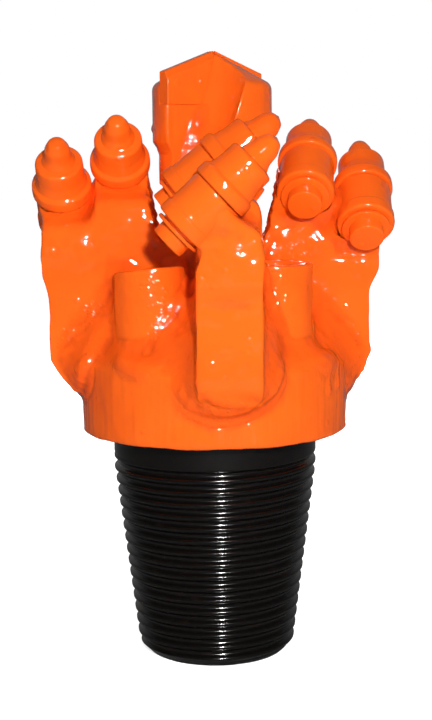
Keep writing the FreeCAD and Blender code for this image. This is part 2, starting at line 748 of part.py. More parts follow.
def build():
    """All the pieces of the bit by name, in the bit's frame."""
    pieces = {"pin_and_collar": pin_and_collar(), "pilot_socket": pilot_socket()}
    pieces["pilot_body"] = about_axis(pilot(), PILOT_AZIMUTH)
    pieces["pilot_plate_front"] = about_axis(cutting_plate(), PILOT_AZIMUTH)
    pieces["pilot_plate_back"] = about_axis(cutting_plate(), PILOT_AZIMUTH + 180)
    for name, angle in ARM_ANGLES.items():
        tube_name = TUBE_AHEAD_OF_ARM[name]
        seats = seats_of(name)
        blank = tube_blank(*TUBE_CUTS[tube_name])
        plate = arm(seats, blank)
        weld = arm_weld(plate)
        ahead = [about_axis(plate, ARM_STEP_ANGLE), about_axis(weld, ARM_STEP_ANGLE)]
        foot_weld = tube_weld().cut([plate, weld, socket_room()] + ahead)
        pieces["arm_" + name] = about_axis(plate, angle)
        pieces["arm_weld_" + name] = about_axis(weld, angle)
        pieces["jet_tube_" + tube_name] = about_axis(jet_tube(blank), angle)
        pieces["tube_weld_" + tube_name] = about_axis(foot_weld, angle)
        for row, seat in seats.items():
            place = name + "_" + row
            pieces["holder_" + place] = about_axis(on_tooth_axis(holder(), seat), angle)
            pieces["tooth_" + place] = about_axis(on_tooth_axis(tooth(), seat), angle)
            pieces["tip_" + place] = about_axis(on_tooth_axis(tooth_tip(), seat), angle)
            pieces["ring_" + place] = about_axis(on_tooth_axis(retaining_ring(), seat), angle)
    return pieces


os.makedirs("parts", exist_ok=True)
for node, shape in build().items():
    shape.exportStep("parts/" + node + ".step")
    print(node, shape.isValid(), len(shape.Solids), round(shape.Volume, 1))
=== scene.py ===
"""Claw bit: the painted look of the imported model, its stand, light and camera.

Lengths are in metres, and in millimetres where a class or a docstring says so. The frame is the
part's own: +Z up, origin at the centre of the pin's small end, the front arm towards -Y.
"""

import json
import logging
import math
from collections.abc import Iterator, Sequence
from contextlib import contextmanager
from dataclasses import dataclass, field
from enum import Enum

import bpy
import numpy as np
from mathutils import Matrix, Vector, noise
from mathutils.bvhtree import BVHTree


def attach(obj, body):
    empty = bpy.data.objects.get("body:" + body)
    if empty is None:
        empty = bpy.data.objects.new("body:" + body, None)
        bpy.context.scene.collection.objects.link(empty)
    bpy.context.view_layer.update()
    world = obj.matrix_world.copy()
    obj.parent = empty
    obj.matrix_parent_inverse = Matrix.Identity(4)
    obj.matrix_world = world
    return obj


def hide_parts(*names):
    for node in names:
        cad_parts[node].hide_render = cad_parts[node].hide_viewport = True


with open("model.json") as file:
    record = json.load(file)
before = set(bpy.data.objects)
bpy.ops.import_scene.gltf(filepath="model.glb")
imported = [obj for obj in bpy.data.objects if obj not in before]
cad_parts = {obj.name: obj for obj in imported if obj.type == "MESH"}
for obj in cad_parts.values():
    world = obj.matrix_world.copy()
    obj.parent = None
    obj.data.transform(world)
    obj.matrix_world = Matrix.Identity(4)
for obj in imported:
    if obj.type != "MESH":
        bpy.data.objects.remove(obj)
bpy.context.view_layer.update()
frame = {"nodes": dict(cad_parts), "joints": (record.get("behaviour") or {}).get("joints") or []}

LOG = logging.getLogger("claw_bit")
MM = 0.001
ROOT_BODY = "bit"
ARM_ANGLES = {"front": -90.0, "right": 0.0, "back": 90.0, "left": 180.0}
TOOTH_ROWS = ("outer", "inner")
TUBE_NAMES = ("front_left", "front_right", "back_right", "back_left")
PHOTO_HEIGHT = 720


class Slot(Enum):
    """The record's material slots."""

    PIN = "pin_black"
    ENAMEL = "enamel"
    WELDS = "enamel_on_welds"
    TEETH = "enamel_on_teeth"
    PLATES = "enamel_on_plates"


# Bench work: small steps done with the modelling operators


def clear_selection() -> None:
    """Deselect everything."""
    bpy.ops.object.select_all(action="DESELECT")


def take_up(piece: bpy.types.Object) -> None:
    """Make one piece the only selected and active one.

    Args:
        piece: the object to work on.
    """
    clear_selection()
    piece.select_set(True)
    bpy.context.view_layer.objects.active = piece


@contextmanager
def editing(piece: bpy.types.Object) -> Iterator[None]:
    """Edit mode on one piece with all of it selected.

    Args:
        piece: the object to edit.

    Yields:
        Nothing; edit mode ends when the block ends.
    """
    take_up(piece)
    bpy.ops.object.mode_set(mode="EDIT")
    bpy.ops.mesh.select_all(action="SELECT")
    yield
    bpy.ops.object.mode_set(mode="OBJECT")


def finish_with(piece: bpy.types.Object, kind: str, **settings: object) -> None:
    """Add a modifier and apply it at once.

    Args:
        piece: the object that gets it.
        kind: the modifier's type.
        settings: its settings by name.
    """
    take_up(piece)
    modifier = piece.modifiers.new(kind.title(), kind)
    for name, value in settings.items():
        setattr(modifier, name, value)
    bpy.ops.object.modifier_apply(modifier=modifier.name)


def cut_level(height: float, above: bool = True, fill: bool = False) -> None:
    """Cut the piece in edit mode level across and keep one side.

    Args:
        height: millimetres above the origin.
        above: whether the upper side stays, else the lower one.
        fill: whether the cut is closed.
    """
    bpy.ops.mesh.bisect(
        plane_co=(0, 0, height * MM),
        plane_no=(0, 0, 1),
        clear_inner=above,
        clear_outer=not above,
        use_fill=fill,
    )


def points_of(piece: bpy.types.Object) -> np.ndarray:
    """All the vertices of a piece as rows of x, y, z."""
    found = np.zeros(len(piece.data.vertices) * 3, np.float64)
    piece.data.vertices.foreach_get("co", found)
    return found.reshape(-1, 3)


def set_points(piece: bpy.types.Object, points: np.ndarray) -> None:
    """Put a piece's vertices at new places.

    Args:
        piece: the object to change.
        points: rows of x, y, z.
    """
    piece.data.vertices.foreach_set("co", points.astype(np.float32).ravel())
    piece.data.update()


def normals_of(piece: bpy.types.Object) -> np.ndarray:
    """All the vertex normals of a piece as rows of x, y, z."""
    found = np.zeros(len(piece.data.vertices) * 3, np.float64)
    piece.data.vertex_normals.foreach_get("vector", found)
    return found.reshape(-1, 3)


def rounded(corners: Sequence[tuple], steps: int = 5) -> list[tuple[float, float]]:
    """Outline with its named corners rounded by arcs.

    Args:
        corners: (a, b) or (a, b, radius) in millimetres.
        steps: straight steps in each arc.

    Returns:
        Points (a, b) in metres.
    """
    flat = [Vector((c[0], c[1])) for c in corners]
    outline = []
    for i, corner in enumerate(flat):
        radius = corners[i][2] if len(corners[i]) > 2 else 0.0
        if radius == 0.0 or i in (0, len(flat) - 1):
            outline.append((corner.x * MM, corner.y * MM))
            continue
        before = (flat[i - 1] - corner).normalized()
        after = (flat[i + 1] - corner).normalized()
        half = before.angle(after) / 2
        reach = radius / math.tan(half)
        centre = corner + (before + after).normalized() * radius / math.sin(half)
        start = corner + before * reach - centre
        turn = start.angle_signed(corner + after * reach - centre)
        for k in range(steps + 1):
            spoke = start.copy()
            spoke.rotate(Matrix.Rotation(-turn * k / steps, 2))
            outline.append(((centre.x + spoke.x) * MM, (centre.y + spoke.y) * MM))
    return outline


def drawn_line(name: str, outline: Sequence[tuple[float, float]]) -> bpy.types.Object:
    """Chain of edges in the X-Z plane, drawn by extruding one point along an outline.

    Args:
        name: the new piece's name.
        outline: points (x, z) in metres.

    Returns:
        The new object.
    """
    clear_selection()
    bpy.ops.mesh.primitive_plane_add(size=MM)
    piece = bpy.context.active_object
    piece.name = name
    with editing(piece):
        bpy.ops.mesh.merge(type="CENTER")
        here = Vector((outline[0][0], 0.0, outline[0][1]))
        bpy.ops.transform.translate(value=here)
        for x, z in outline[1:]:
            there = Vector((x, 0.0, z))
            bpy.ops.mesh.extrude_region_move(TRANSFORM_OT_translate={"value": there - here})
            here = there
    return piece


def turned(name: str, outline: Sequence[tuple[float, float]], steps: int) -> bpy.types.Object:
    """Piece turned about Z from an outline of radius and height.

    Args:
        name: the new piece's name.
        outline: points (radius, z) in metres, from one end to the other.
        steps: faces round the turn.

    Returns:
        The new object, closed where the outline meets the axis.
    """
    piece = drawn_line(name, outline)
    with editing(piece):
        bpy.ops.mesh.spin(steps=steps, angle=math.tau, center=(0, 0, 0), axis=(0, 0, 1))
        bpy.ops.mesh.select_all(action="SELECT")
        bpy.ops.mesh.remove_doubles(threshold=MM / 100)
        bpy.ops.mesh.normals_make_consistent(inside=False)
    return piece


def copy_of(piece: bpy.types.Object, name: str) -> bpy.types.Object:
    """Copy of a piece with its own mesh, shown and riding on nothing.

    Args:
        piece: the object to copy.
        name: the copy's name.

    Returns:
        The copy.
    """
    twin = bpy.data.objects.new(name, piece.data.copy())
    bpy.context.scene.collection.objects.link(twin)
    twin.data.materials.clear()
    with editing(twin):
        bpy.ops.mesh.remove_doubles(threshold=MM / 100)
    return twin


def blank_of(node: str, name: str) -> bpy.types.Object:
    """Merged copy of one node of the frame, as the blank for a finished piece."""
    return copy_of(frame["nodes"][node], name)


def joined(pieces: Sequence[bpy.types.Object], name: str) -> bpy.types.Object:
    """Join pieces into the first one.

    Args:
        pieces: the objects to join, which go.
        name: the name of the result.

    Returns:
        The joined object.
    """
    clear_selection()
    for piece in pieces:
        piece.select_set(True)
    bpy.context.view_layer.objects.active = pieces[0]
    bpy.ops.object.join()
    pieces[0].name = name
    return pieces[0]


def skinned(piece: bpy.types.Object, voxel: float, softening: int) -> None:
    """Give a piece one even skin, then round its edges as thick paint does.

    Args:
        piece: the object to change.
        voxel: size of the skin's faces.
        softening: smoothing passes.
    """
    finish_with(piece, "REMESH", mode="VOXEL", voxel_size=voxel, adaptivity=0.0)
    if softening:
        finish_with(piece, "SMOOTH", factor=0.5, iterations=softening)


def spread(piece: bpy.types.Object, values: np.ndarray, passes: int) -> np.ndarray:
    """Even a value out over neighbouring vertices.

    Args:
        piece: the object whose edges carry the value.
        values: one value for each vertex.
        passes: how often each vertex takes half of its neighbours' mean.

    Returns:
        The evened values.
    """
    ends = np.zeros(len(piece.data.edges) * 2, np.int32)
    piece.data.edges.foreach_get("vertices", ends)
    first, second = ends.reshape(-1, 2).T
    size = len(values)
    count = np.maximum(np.bincount(first, minlength=size) + np.bincount(second, minlength=size), 1)
    for _ in range(passes):
        total = np.bincount(first, values[second], size) + np.bincount(second, values[first], size)
        values = (values + total / count) / 2
    return values


def lumps(points: np.ndarray, size: float, seed: float, octaves: int = 2) -> np.ndarray:
    """Smooth random height at each point, about -1 to 1.

    Args:
        points: rows of x, y, z.
        size: length of one lump.
        seed: offset that makes each piece differ.
        octaves: layers of finer lumps.

    Returns:
        One height for each point.
    """
    shift = Vector((seed * 7.3, seed * 3.1, seed * 5.7))
    heights = np.empty(len(points))
    for i, point in enumerate(points):
        place = Vector(point) / size + shift
        heights[i] = noise.fractal(place, 1.0, 2.0, octaves)
    return heights


def swell(piece: bpy.types.Object, heights: np.ndarray) -> None:
    """Move each vertex along its normal by its own height."""
    set_points(piece, points_of(piece) + normals_of(piece) * heights[:, None])


def placed(piece: bpy.types.Object, place: Matrix) -> None:
    """Put a piece's mesh at its place, with its object left at the origin."""
    piece.data.transform(place)
    piece.data.update()


def smooth_shaded(piece: bpy.types.Object, crease_degrees: float = 50.0) -> None:
    """Smooth shading with sharp creases kept."""
    take_up(piece)
    bpy.ops.object.shade_smooth_by_angle(angle=math.radians(crease_degrees))


# Finishes


@dataclass(frozen=True)
class Enamel:
    """Thick gloss paint with sags, fine peel, a random darker mottle and painted shade in creases."""

    name: str
    colour: tuple[float, float, float] = (0.93, 0.128, 0.009)
    # The second colour is both a random darker mottle and the painted shade of welds and broad hollows; the
    # third is painted shade in creases
    tone_and_shade: tuple[float, float, float] = (0.80, 0.062, 0.004)
    crease_shade_colour: tuple[float, float, float] = (0.20, 0.018, 0.004)
    roughness: float = 0.07
    ior: float = 1.50
    mottle_size: float = 0.03
    mottle_share: float = 0.25
    weld_shade_share: float = 0.35
    sunken_shade_share: float = 0.75
    # How strongly the painted shade darkens the creases, on the head and on the other pieces
    marked_crease_shade: float = 0.5
    plain_crease_shade: float = 0.7
    sag_size: float = 0.014
    sag_depth: float = 0.0006
    ripple_size: float = 0.0045
    ripple_depth: float = 0.00022
    ripple_grain: tuple[float, float, float] = (0.5, 0.5, 1.1)
    peel_size: float = 0.0014
    peel_depth: float = 0.00002
    grit_size: float = 0.0026
    grit_depth: float = 0.0003
    streak_size: float = 0.004
    streak_grain: tuple[float, float, float] = (1.0, 1.0, 0.08)
    streak_depth: float = 0.0006
    drop_cell: float = 0.0021
    drops: float = 0.7
    drop_depth: float = 0.00022
    speck_cell: float = 0.0046
    specks: float = 0.16
    marked: bool = False

    def make(self) -> bpy.types.Material:
        """Build the material.

        Returns:
            The node material.
        """
        paint = Paintwork(self.name)
        paint.shader.inputs["Roughness"].default_value = self.roughness
        paint.shader.inputs["IOR"].default_value = self.ior
        mottle = paint.noise(1 / self.mottle_size, 3.0, 0.5)
        mixed = paint.mix(paint.ramp(mottle, 0.35, 0.75), self.colour, self.tone_and_shade, self.mottle_share)
        # Painted shade: the paint darkens in creases, found from the skin's crease mark or from pointiness
        hollows = paint.mark("hollow") if self.marked else paint.ramp(paint.pointiness(), 0.48, 0.42)
        if self.marked:
            # Painted shade: welds, filled corners and broad hollows take the darker colour
            mixed = paint.mix(paint.mark("weld"), mixed, self.tone_and_shade, self.weld_shade_share)
            mixed = paint.mix(paint.mark("sunken"), mixed, self.tone_and_shade, self.sunken_shade_share)
        crease_darkening = self.marked_crease_shade if self.marked else self.plain_crease_shade
        mixed = paint.mix(hollows, mixed, self.crease_shade_colour, crease_darkening)
        paint.link(mixed, paint.shader.inputs["Base Color"])
        bump = paint.bump(paint.noise(1 / self.sag_size, 2.0, 0.5), self.sag_depth, None)
        ripples = paint.noise(1 / self.ripple_size, 2.0, 0.5, self.ripple_grain)
        bump = paint.bump(ripples, self.ripple_depth, bump)
        bump = paint.bump(paint.noise(1 / self.peel_size, 2.0, 0.5), self.peel_depth, bump)
        bump = paint.bump(paint.spatter(self.speck_cell, self.specks), self.drop_depth, bump)
        if self.marked:
            grit = paint.times(paint.noise(1 / self.grit_size, 3.0, 0.65), paint.mark("weld"))
            bump = paint.bump(grit, self.grit_depth, bump)
            drops = paint.times(paint.spatter(self.drop_cell, self.drops), paint.mark("spattered"))
            bump = paint.bump(drops, self.drop_depth, bump)
            streaks = paint.noise(1 / self.streak_size, 2.0, 0.5, self.streak_grain)
            bump = paint.bump(paint.times(streaks, paint.mark("brushed")), self.streak_depth, bump)
        paint.link(bump, paint.shader.inputs["Normal"])
        return paint.material


@dataclass(frozen=True)
class BlackCoat:
    """Gloss black coating on the pin with faint brown handling marks."""

    name: str = "pin_coating"
    colour: tuple[float, float, float] = (0.0035, 0.003, 0.0026)
    worn: tuple[float, float, float] = (0.020, 0.010, 0.006)
    roughness: float = 0.14
    ior: float = 1.45
    rub_size: float = 0.006
    rub_grain: tuple[float, float, float] = (0.5, 0.5, 4.0)
    rub_share: float = 0.7
    pit_size: float = 0.003
    pit_depth: float = 0.00006

    def make(self) -> bpy.types.Material:
        """Build the material.

        Returns:
            The node material.
        """
        paint = Paintwork(self.name)
        paint.shader.inputs["Roughness"].default_value = self.roughness
        paint.shader.inputs["IOR"].default_value = self.ior
        rub = paint.ramp(paint.noise(1 / self.rub_size, 5.0, 0.7, self.rub_grain), 0.56, 0.78)
        worn = paint.mix(rub, self.colour, self.worn, self.rub_share)
        paint.link(worn, paint.shader.inputs["Base Color"])
        bump = paint.bump(paint.noise(1 / self.pit_size, 3.0, 0.6), self.pit_depth, None)
        paint.link(bump, paint.shader.inputs["Normal"])
        return paint.material


class Paintwork:
    """One node material in the making, read from Object coordinates."""

    def __init__(self, name: str) -> None:
        """Start a material with its shader and coordinates.

        Args:
            name: the material's name.
        """
        self.material = bpy.data.materials.new(name)
        self.material.use_nodes = True
        self.tree = self.material.node_tree
        self.shader = self.tree.nodes["Principled BSDF"]
        self.coordinates = self.tree.nodes.new("ShaderNodeTexCoord").outputs["Object"]

    def link(self, source: bpy.types.NodeSocket, target: bpy.types.NodeSocket) -> None:
        """Join two sockets."""
        self.tree.links.new(source, target)

    def noise(
        self, scale: float, detail: float, roughness: float, stretch: tuple | None = None
    ) -> bpy.types.NodeSocket:
        """Noise in object space.

        Args:
            scale: lumps per metre.
            detail: layers of finer noise.
            roughness: how strong the finer layers are.
            stretch: scale along each axis, if not even.

        Returns:
            The noise's value.
        """
        node = self.tree.nodes.new("ShaderNodeTexNoise")
        node.inputs["Scale"].default_value = scale
        node.inputs["Detail"].default_value = detail
        node.inputs["Roughness"].default_value = roughness
        source = self.coordinates
        if stretch is not None:
            mapping = self.tree.nodes.new("ShaderNodeMapping")
            mapping.inputs["Scale"].default_value = stretch
            self.link(source, mapping.inputs["Vector"])
            source = mapping.outputs["Vector"]
        self.link(source, node.inputs["Vector"])
        return node.outputs["Fac"]

    def spatter(self, cell: float, share: float) -> bpy.types.NodeSocket:
        """Round drops, scattered.

        Args:
            cell: metres between neighbouring places for a drop.
            share: how many of the places have one, 0 to 1.

        Returns:
            0 off the drops to 1 on top of one.
        """
        node = self.tree.nodes.new("ShaderNodeTexVoronoi")
        node.inputs["Scale"].default_value = 1 / cell
        self.link(self.coordinates, node.inputs["Vector"])
        parts = self.tree.nodes.new("ShaderNodeSeparateColor")
        self.link(node.outputs["Color"], parts.inputs[0])
        drop = self.ramp(node.outputs["Distance"], 0.40, 0.05)
        return self.times(drop, self.ramp(parts.outputs[0], 0.99 - share, 1.0 - share))

    def mark(self, name: str) -> bpy.types.NodeSocket:
        """Value that the piece's vertices carry.

        Args:
            name: the attribute's name.

        Returns:
            The value.
        """
        node = self.tree.nodes.new("ShaderNodeAttribute")
        node.attribute_name = name
        return node.outputs["Fac"]

    def times(self, first: bpy.types.NodeSocket, second: bpy.types.NodeSocket) -> bpy.types.NodeSocket:
        """Product of two values."""
        node = self.tree.nodes.new("ShaderNodeMath")
        node.operation = "MULTIPLY"
        self.link(first, node.inputs[0])
        self.link(second, node.inputs[1])
        return node.outputs[0]

    def pointiness(self) -> bpy.types.NodeSocket:
        """How far the surface bulges, 0.5 where it is flat."""
        return self.tree.nodes.new("ShaderNodeNewGeometry").outputs["Pointiness"]

    def ramp(self, value: bpy.types.NodeSocket, low: float, high: float) -> bpy.types.NodeSocket:
        """Smooth step from 0 at low to 1 at high.

        Args:
            value: the value to map.
            low: where the result is 0.
            high: where the result is 1.

        Returns:
            The mapped value.
        """
        node = self.tree.nodes.new("ShaderNodeMapRange")
        node.interpolation_type = "SMOOTHSTEP"
        node.inputs["From Min"].default_value = low
        node.inputs["From Max"].default_value = high
        self.link(value, node.inputs["Value"])
        return node.outputs["Result"]

    def mix(
        self,
        factor: bpy.types.NodeSocket,
        first: tuple | bpy.types.NodeSocket,
        second: tuple | bpy.types.NodeSocket,
        strength: float,
    ) -> bpy.types.NodeSocket:
        """Colour between two others.

        Args:
            factor: 0 for the first, 1 for the second.
            first: a colour or a socket.
            second: a colour or a socket.
            strength: the most of the second that is mixed in.

        Returns:
            The mixed colour.
        """
        scaled = self.tree.nodes.new("ShaderNodeMath")
        scaled.operation = "MULTIPLY"
        scaled.inputs[1].default_value = strength
        self.link(factor, scaled.inputs[0])
        node = self.tree.nodes.new("ShaderNodeMix")
        node.data_type = "RGBA"
        self.link(scaled.outputs[0], node.inputs["Factor"])
        for value, target in ((first, node.inputs[6]), (second, node.inputs[7])):
            if isinstance(value, tuple):
                target.default_value = (*value, 1.0)
            else:
                self.link(value, target)
        return node.outputs[2]

    def bump(
        self, height: bpy.types.NodeSocket, depth: float, under: bpy.types.NodeSocket | None
    ) -> bpy.types.NodeSocket:
        """Bump over another bump.

        Args:
            height: the height pattern, 0 to 1.
            depth: how deep it is.
            under: the bump below it, if any.

        Returns:
            The normal.
        """
        node = self.tree.nodes.new("ShaderNodeBump")
        node.inputs["Strength"].default_value = 1.0
        node.inputs["Distance"].default_value = depth
        self.link(height, node.inputs["Height"])
        if under is not None:
            self.link(under, node.inputs["Normal"])
        return node.outputs["Normal"]


@dataclass(frozen=True)
class Finishes:
    """Every finish of the bit."""

    enamel: Enamel = Enamel("enamel")
    head: Enamel = Enamel("head_enamel", marked=True)
    pilot: Enamel = Enamel(
        "pilot_enamel", sag_depth=0.0014, ripple_depth=0.0004, ripple_grain=(1.0, 1.0, 0.12)
    )
    teeth: Enamel = Enamel("teeth_enamel", sag_depth=0.0004, ripple_depth=0.00012, specks=0.3)
    coating: BlackCoat = BlackCoat()


class Paintshop:
    """Makes each material once and gives it to the pieces."""

    def __init__(self, finishes: Finishes) -> None:
        """Keep the finishes.

        Args:
            finishes: what the pieces can be painted with.
        """
        self.finishes = finishes
        self.made: dict[str, bpy.types.Material] = {}

    def dress(
        self, piece: bpy.types.Object, finish: Enamel | BlackCoat, nodes: Sequence[str], body: str
    ) -> None:
        """Paint a finished piece and hang it on its body.

        Args:
            piece: the finished piece.
            finish: its paint.
            nodes: the frame's nodes that it stands for.
            body: the body that it moves with.
        """
        if finish.name not in self.made:
            self.made[finish.name] = finish.make()
        piece.data.materials.clear()
        piece.data.materials.append(self.made[finish.name])
        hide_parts(*nodes)
        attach(piece, body)
        LOG.info("%s: %d faces, on %s", piece.name, len(piece.data.polygons), body)


# Sub-assemblies


@dataclass
class ThreadedPin:
    """Tapered pin with its helical thread, in millimetres."""

    length: float = 95.25
    end_radius: float = 32.535
    base_radius: float = 42.45
    taper: float = 0.125
    end_chamfer: float = 3.4
    bore_radius: float = 19.05
    bore_depth: float = 97.0
    pitch: float = 5.08
    depth: float = 1.9
    crest: float = 1.3
    root: float = 1.5
    plain_length: float = 9.5
    run_out: float = 2.5
    end_trim: float = 0.02
    drill_point: float = 59.0
    mouth_chamfer: float = 0.8
    steps: int = 144

    def section(self) -> list[tuple[float, float]]:
        """One turn's outline as (depth below the crest cone, height) in millimetres."""
        flank = (self.pitch - self.crest - self.root) / 2
        corners = [
            (0.0, 0.0),
            (0.0, self.crest * 0.35),
            (0.12, self.crest * 0.5),
            (self.depth * 0.5, self.crest / 2 + flank * 0.5),
            (self.depth - 0.2, self.crest / 2 + flank * 0.9),
            (self.depth, self.crest / 2 + flank + self.root * 0.2),
            (self.depth, self.crest / 2 + flank + self.root / 2),
        ]
        mirrored = [(d, self.pitch - z) for d, z in reversed(corners[:-1])]
        return corners + mirrored

    def build(self) -> bpy.types.Object:
        """Screw the section up the pin, then pull it onto the taper, the chamfer and the run-out.

        Returns:
            The pin's outer skin with its end face and bore.
        """
        start = -self.pitch
        outline = [((self.end_radius - d) * MM, (start + z) * MM) for d, z in self.section()]
        skin = drawn_line("threaded_pin", outline)
        turns = math.ceil((self.length - start) / self.pitch)
        finish_with(
            skin,
            "SCREW",
            axis="Z",
            angle=math.tau,
            screw_offset=self.pitch * MM,
            iterations=turns,
            steps=self.steps,
            render_steps=self.steps,
            use_merge_vertices=True,
            merge_threshold=MM / 100,
            use_normal_calculate=True,
        )
        points = points_of(skin)
        height = points[:, 2] / MM
        radius = np.hypot(points[:, 0], points[:, 1]) / MM
        below_crest = self.end_radius - radius
        fade = np.clip((self.length - self.plain_length - height) / self.run_out, 0.0, 1.0)
        cone = self.end_radius + height * self.taper
        wanted = np.minimum(cone, self.base_radius) - below_crest * fade
        chamfer = self.end_radius - self.end_chamfer + height
        wanted = np.minimum(wanted, np.maximum(chamfer, self.bore_radius))
        points[:, :2] *= (wanted / radius)[:, None]
        points[:, 2] = np.clip(points[:, 2], 0.0, self.length * MM)
        set_points(skin, points)
        with editing(skin):
            for level, above in ((self.end_trim, True), (self.length - self.end_trim, False)):
                bpy.ops.mesh.select_all(action="SELECT")
                cut_level(level, above)
        return joined([skin, self.waterway()], "threaded_pin")

    def waterway(self) -> bpy.types.Object:
        """End face and bore, turned, facing the inside of the pin's wall."""
        point = self.bore_radius / math.tan(math.radians(self.drill_point))
        corners = [
            (self.end_radius - self.end_chamfer, self.end_trim),
            (self.end_radius - self.end_chamfer - self.end_trim, 0.0),
            (self.bore_radius + self.mouth_chamfer, 0.0),
            (self.bore_radius, self.mouth_chamfer, 0.4),
            (self.bore_radius, self.bore_depth),
            (0.0, self.bore_depth + point),
        ]
        piece = turned("waterway", rounded(corners), self.steps)
        with editing(piece):
            bpy.ops.mesh.normals_make_consistent(inside=True)
        return piece


@dataclass
class ToothShape:
    """Round-shank tooth along its own Z, the flange's back face at 0, in millimetres."""

    flange_radius: float = 12.3
    flange_thickness: float = 4.8
    nose_radius: float = 9.7
    nose_length: float = 17.5
    shank_radius: float = 8.0
    ring_face: float = -20.5
    ring_thickness: float = 1.3
    ring_bore: float = 6.1
    ring_radius: float = 9.8
    ring_opening: float = 58.0
    opening_bearing: float = 52.0
    groove_radius: float = 6.0
    groove_play: float = 0.1
    shank_end: float = -26.9
    shank_end_radius: float = 7.0
    steps: int = 96

    def body(self) -> bpy.types.Object:
        """Turn shank, groove, flange and nose.

        Returns:
            The tooth's steel body.
        """
        groove_foot = self.ring_face - self.ring_thickness - self.groove_play
        corners = [
            (0.0, self.shank_end),
            (self.shank_end_radius, self.shank_end, 0.7),
            (self.shank_end_radius, groove_foot, 0.15),
            (self.groove_radius, groove_foot),
            (self.groove_radius, self.ring_face + self.groove_play),
            (self.shank_radius, self.ring_face + self.groove_play),
            (self.shank_radius, -0.05),
            (self.flange_radius - 0.1, -0.05, 0.8),
            (self.flange_radius, self.flange_thickness * 0.45, 3.0),
            (self.flange_radius - 0.15, self.flange_thickness, 1.7),
            (self.nose_radius + 0.9, self.flange_thickness + 1.2, 0.8),
            (self.nose_radius + 0.1, self.flange_thickness + 5.4, 6.0),
            (self.nose_radius - 0.1, self.nose_length - 0.2, 1.5),
            (self.nose_radius - 1.7, self.nose_length + 0.1, 0.5),
            (6.9, self.nose_length + 0.45, 0.6),
            (5.9, self.nose_length + 1.2),
            (0.0, self.nose_length + 1.2),
        ]
        return turned("tooth_body", rounded(corners), self.steps)

    def tip(self) -> bpy.types.Object:
        """Turn the hard-metal tip with its waist and blunt point.

        Returns:
            The tip.
        """
        base = self.nose_length
        corners = [
            (0.0, base - 0.5),
            (6.75, base - 0.5),
            (6.75, base + 0.7, 0.4),
            (5.55, base + 3.0, 4.5),
            (5.0, base + 7.4, 5.0),
            (3.2, base + 11.0, 2.6),
            (0.0, base + 12.15),
        ]
        return turned("tooth_tip", rounded(corners, 7), self.steps)

    def ring(self) -> bpy.types.Object:
        """Turn the retaining ring and open it.

        Returns:
            The split ring.
        """
        low = self.ring_face - self.ring_thickness
        corners = [
            (self.ring_bore, low),
            (self.ring_bore, self.ring_face),
            (self.ring_radius, self.ring_face, 0.3),
            (self.ring_radius, low, 0.3),
            (self.ring_bore, low),
        ]
        opening = math.radians(self.ring_opening)
        middle = math.radians(self.opening_bearing)
        piece = drawn_line("split_ring", rounded(corners))
        with editing(piece):
            bpy.ops.mesh.remove_doubles(threshold=MM / 100)
            bpy.ops.mesh.edge_face_add()
            bpy.ops.mesh.spin(
                steps=self.steps, angle=math.tau - opening, center=(0, 0, 0), axis=(0, 0, 1)
            )
            bpy.ops.mesh.select_all(action="SELECT")
            bpy.ops.mesh.normals_make_consistent(inside=False)
        placed(piece, Matrix.Rotation(middle + opening / 2, 4, "Z"))
        return piece


@dataclass
class Teeth:
    """All the teeth on their holders' axes."""

    shape: ToothShape = field(default_factory=ToothShape)
    paint_wave: float = 0.07

    @staticmethod
    def places() -> list[str]:
        """Arm and row of every tooth."""
        return [arm + "_" + row for arm in ARM_ANGLES for row in TOOTH_ROWS]

    def seat(self, place: str) -> Matrix:
        """Where a tooth's own frame lies in the bit's frame.

        Args:
            place: arm and row, such as front_outer.

        Returns:
            The placing matrix.
        """
        joint = next(j for j in frame["joints"] if j["name"] == place + "_spin")
        axis = Vector(joint["axis"])
        outwards = Vector((axis.y, -axis.x, 0.0)).normalized()
        across = axis.cross(outwards)
        turn = Matrix((outwards, across, axis)).transposed().to_4x4()
        return Matrix.Translation(Vector(joint["pos_m"])) @ turn

    def build(self, shop: "Paintshop") -> None:
        """Model each part once, then copy, seat and paint it for every tooth.

        Args:
            shop: paints the pieces.
        """
        models = {"tooth": self.shape.body(), "tip": self.shape.tip(), "ring": self.shape.ring()}
        for arm_name in ARM_ANGLES:
            for row in TOOTH_ROWS:
                place = arm_name + "_" + row
                for kind, model in models.items():
                    piece = copy_of(model, kind + "_painted_" + place)
                    placed(piece, self.seat(place))
                    seed = ARM_ANGLES[arm_name] / 90 + (5 if row == "outer" else 9)
                    swell(piece, lumps(points_of(piece), 0.011, seed) * self.paint_wave * MM)
                    smooth_shaded(piece)
                    shop.dress(
                        piece, shop.finishes.teeth, [kind + "_" + place], "tooth_body_" + place
                    )
        for model in models.values():
            bpy.data.objects.remove(model)


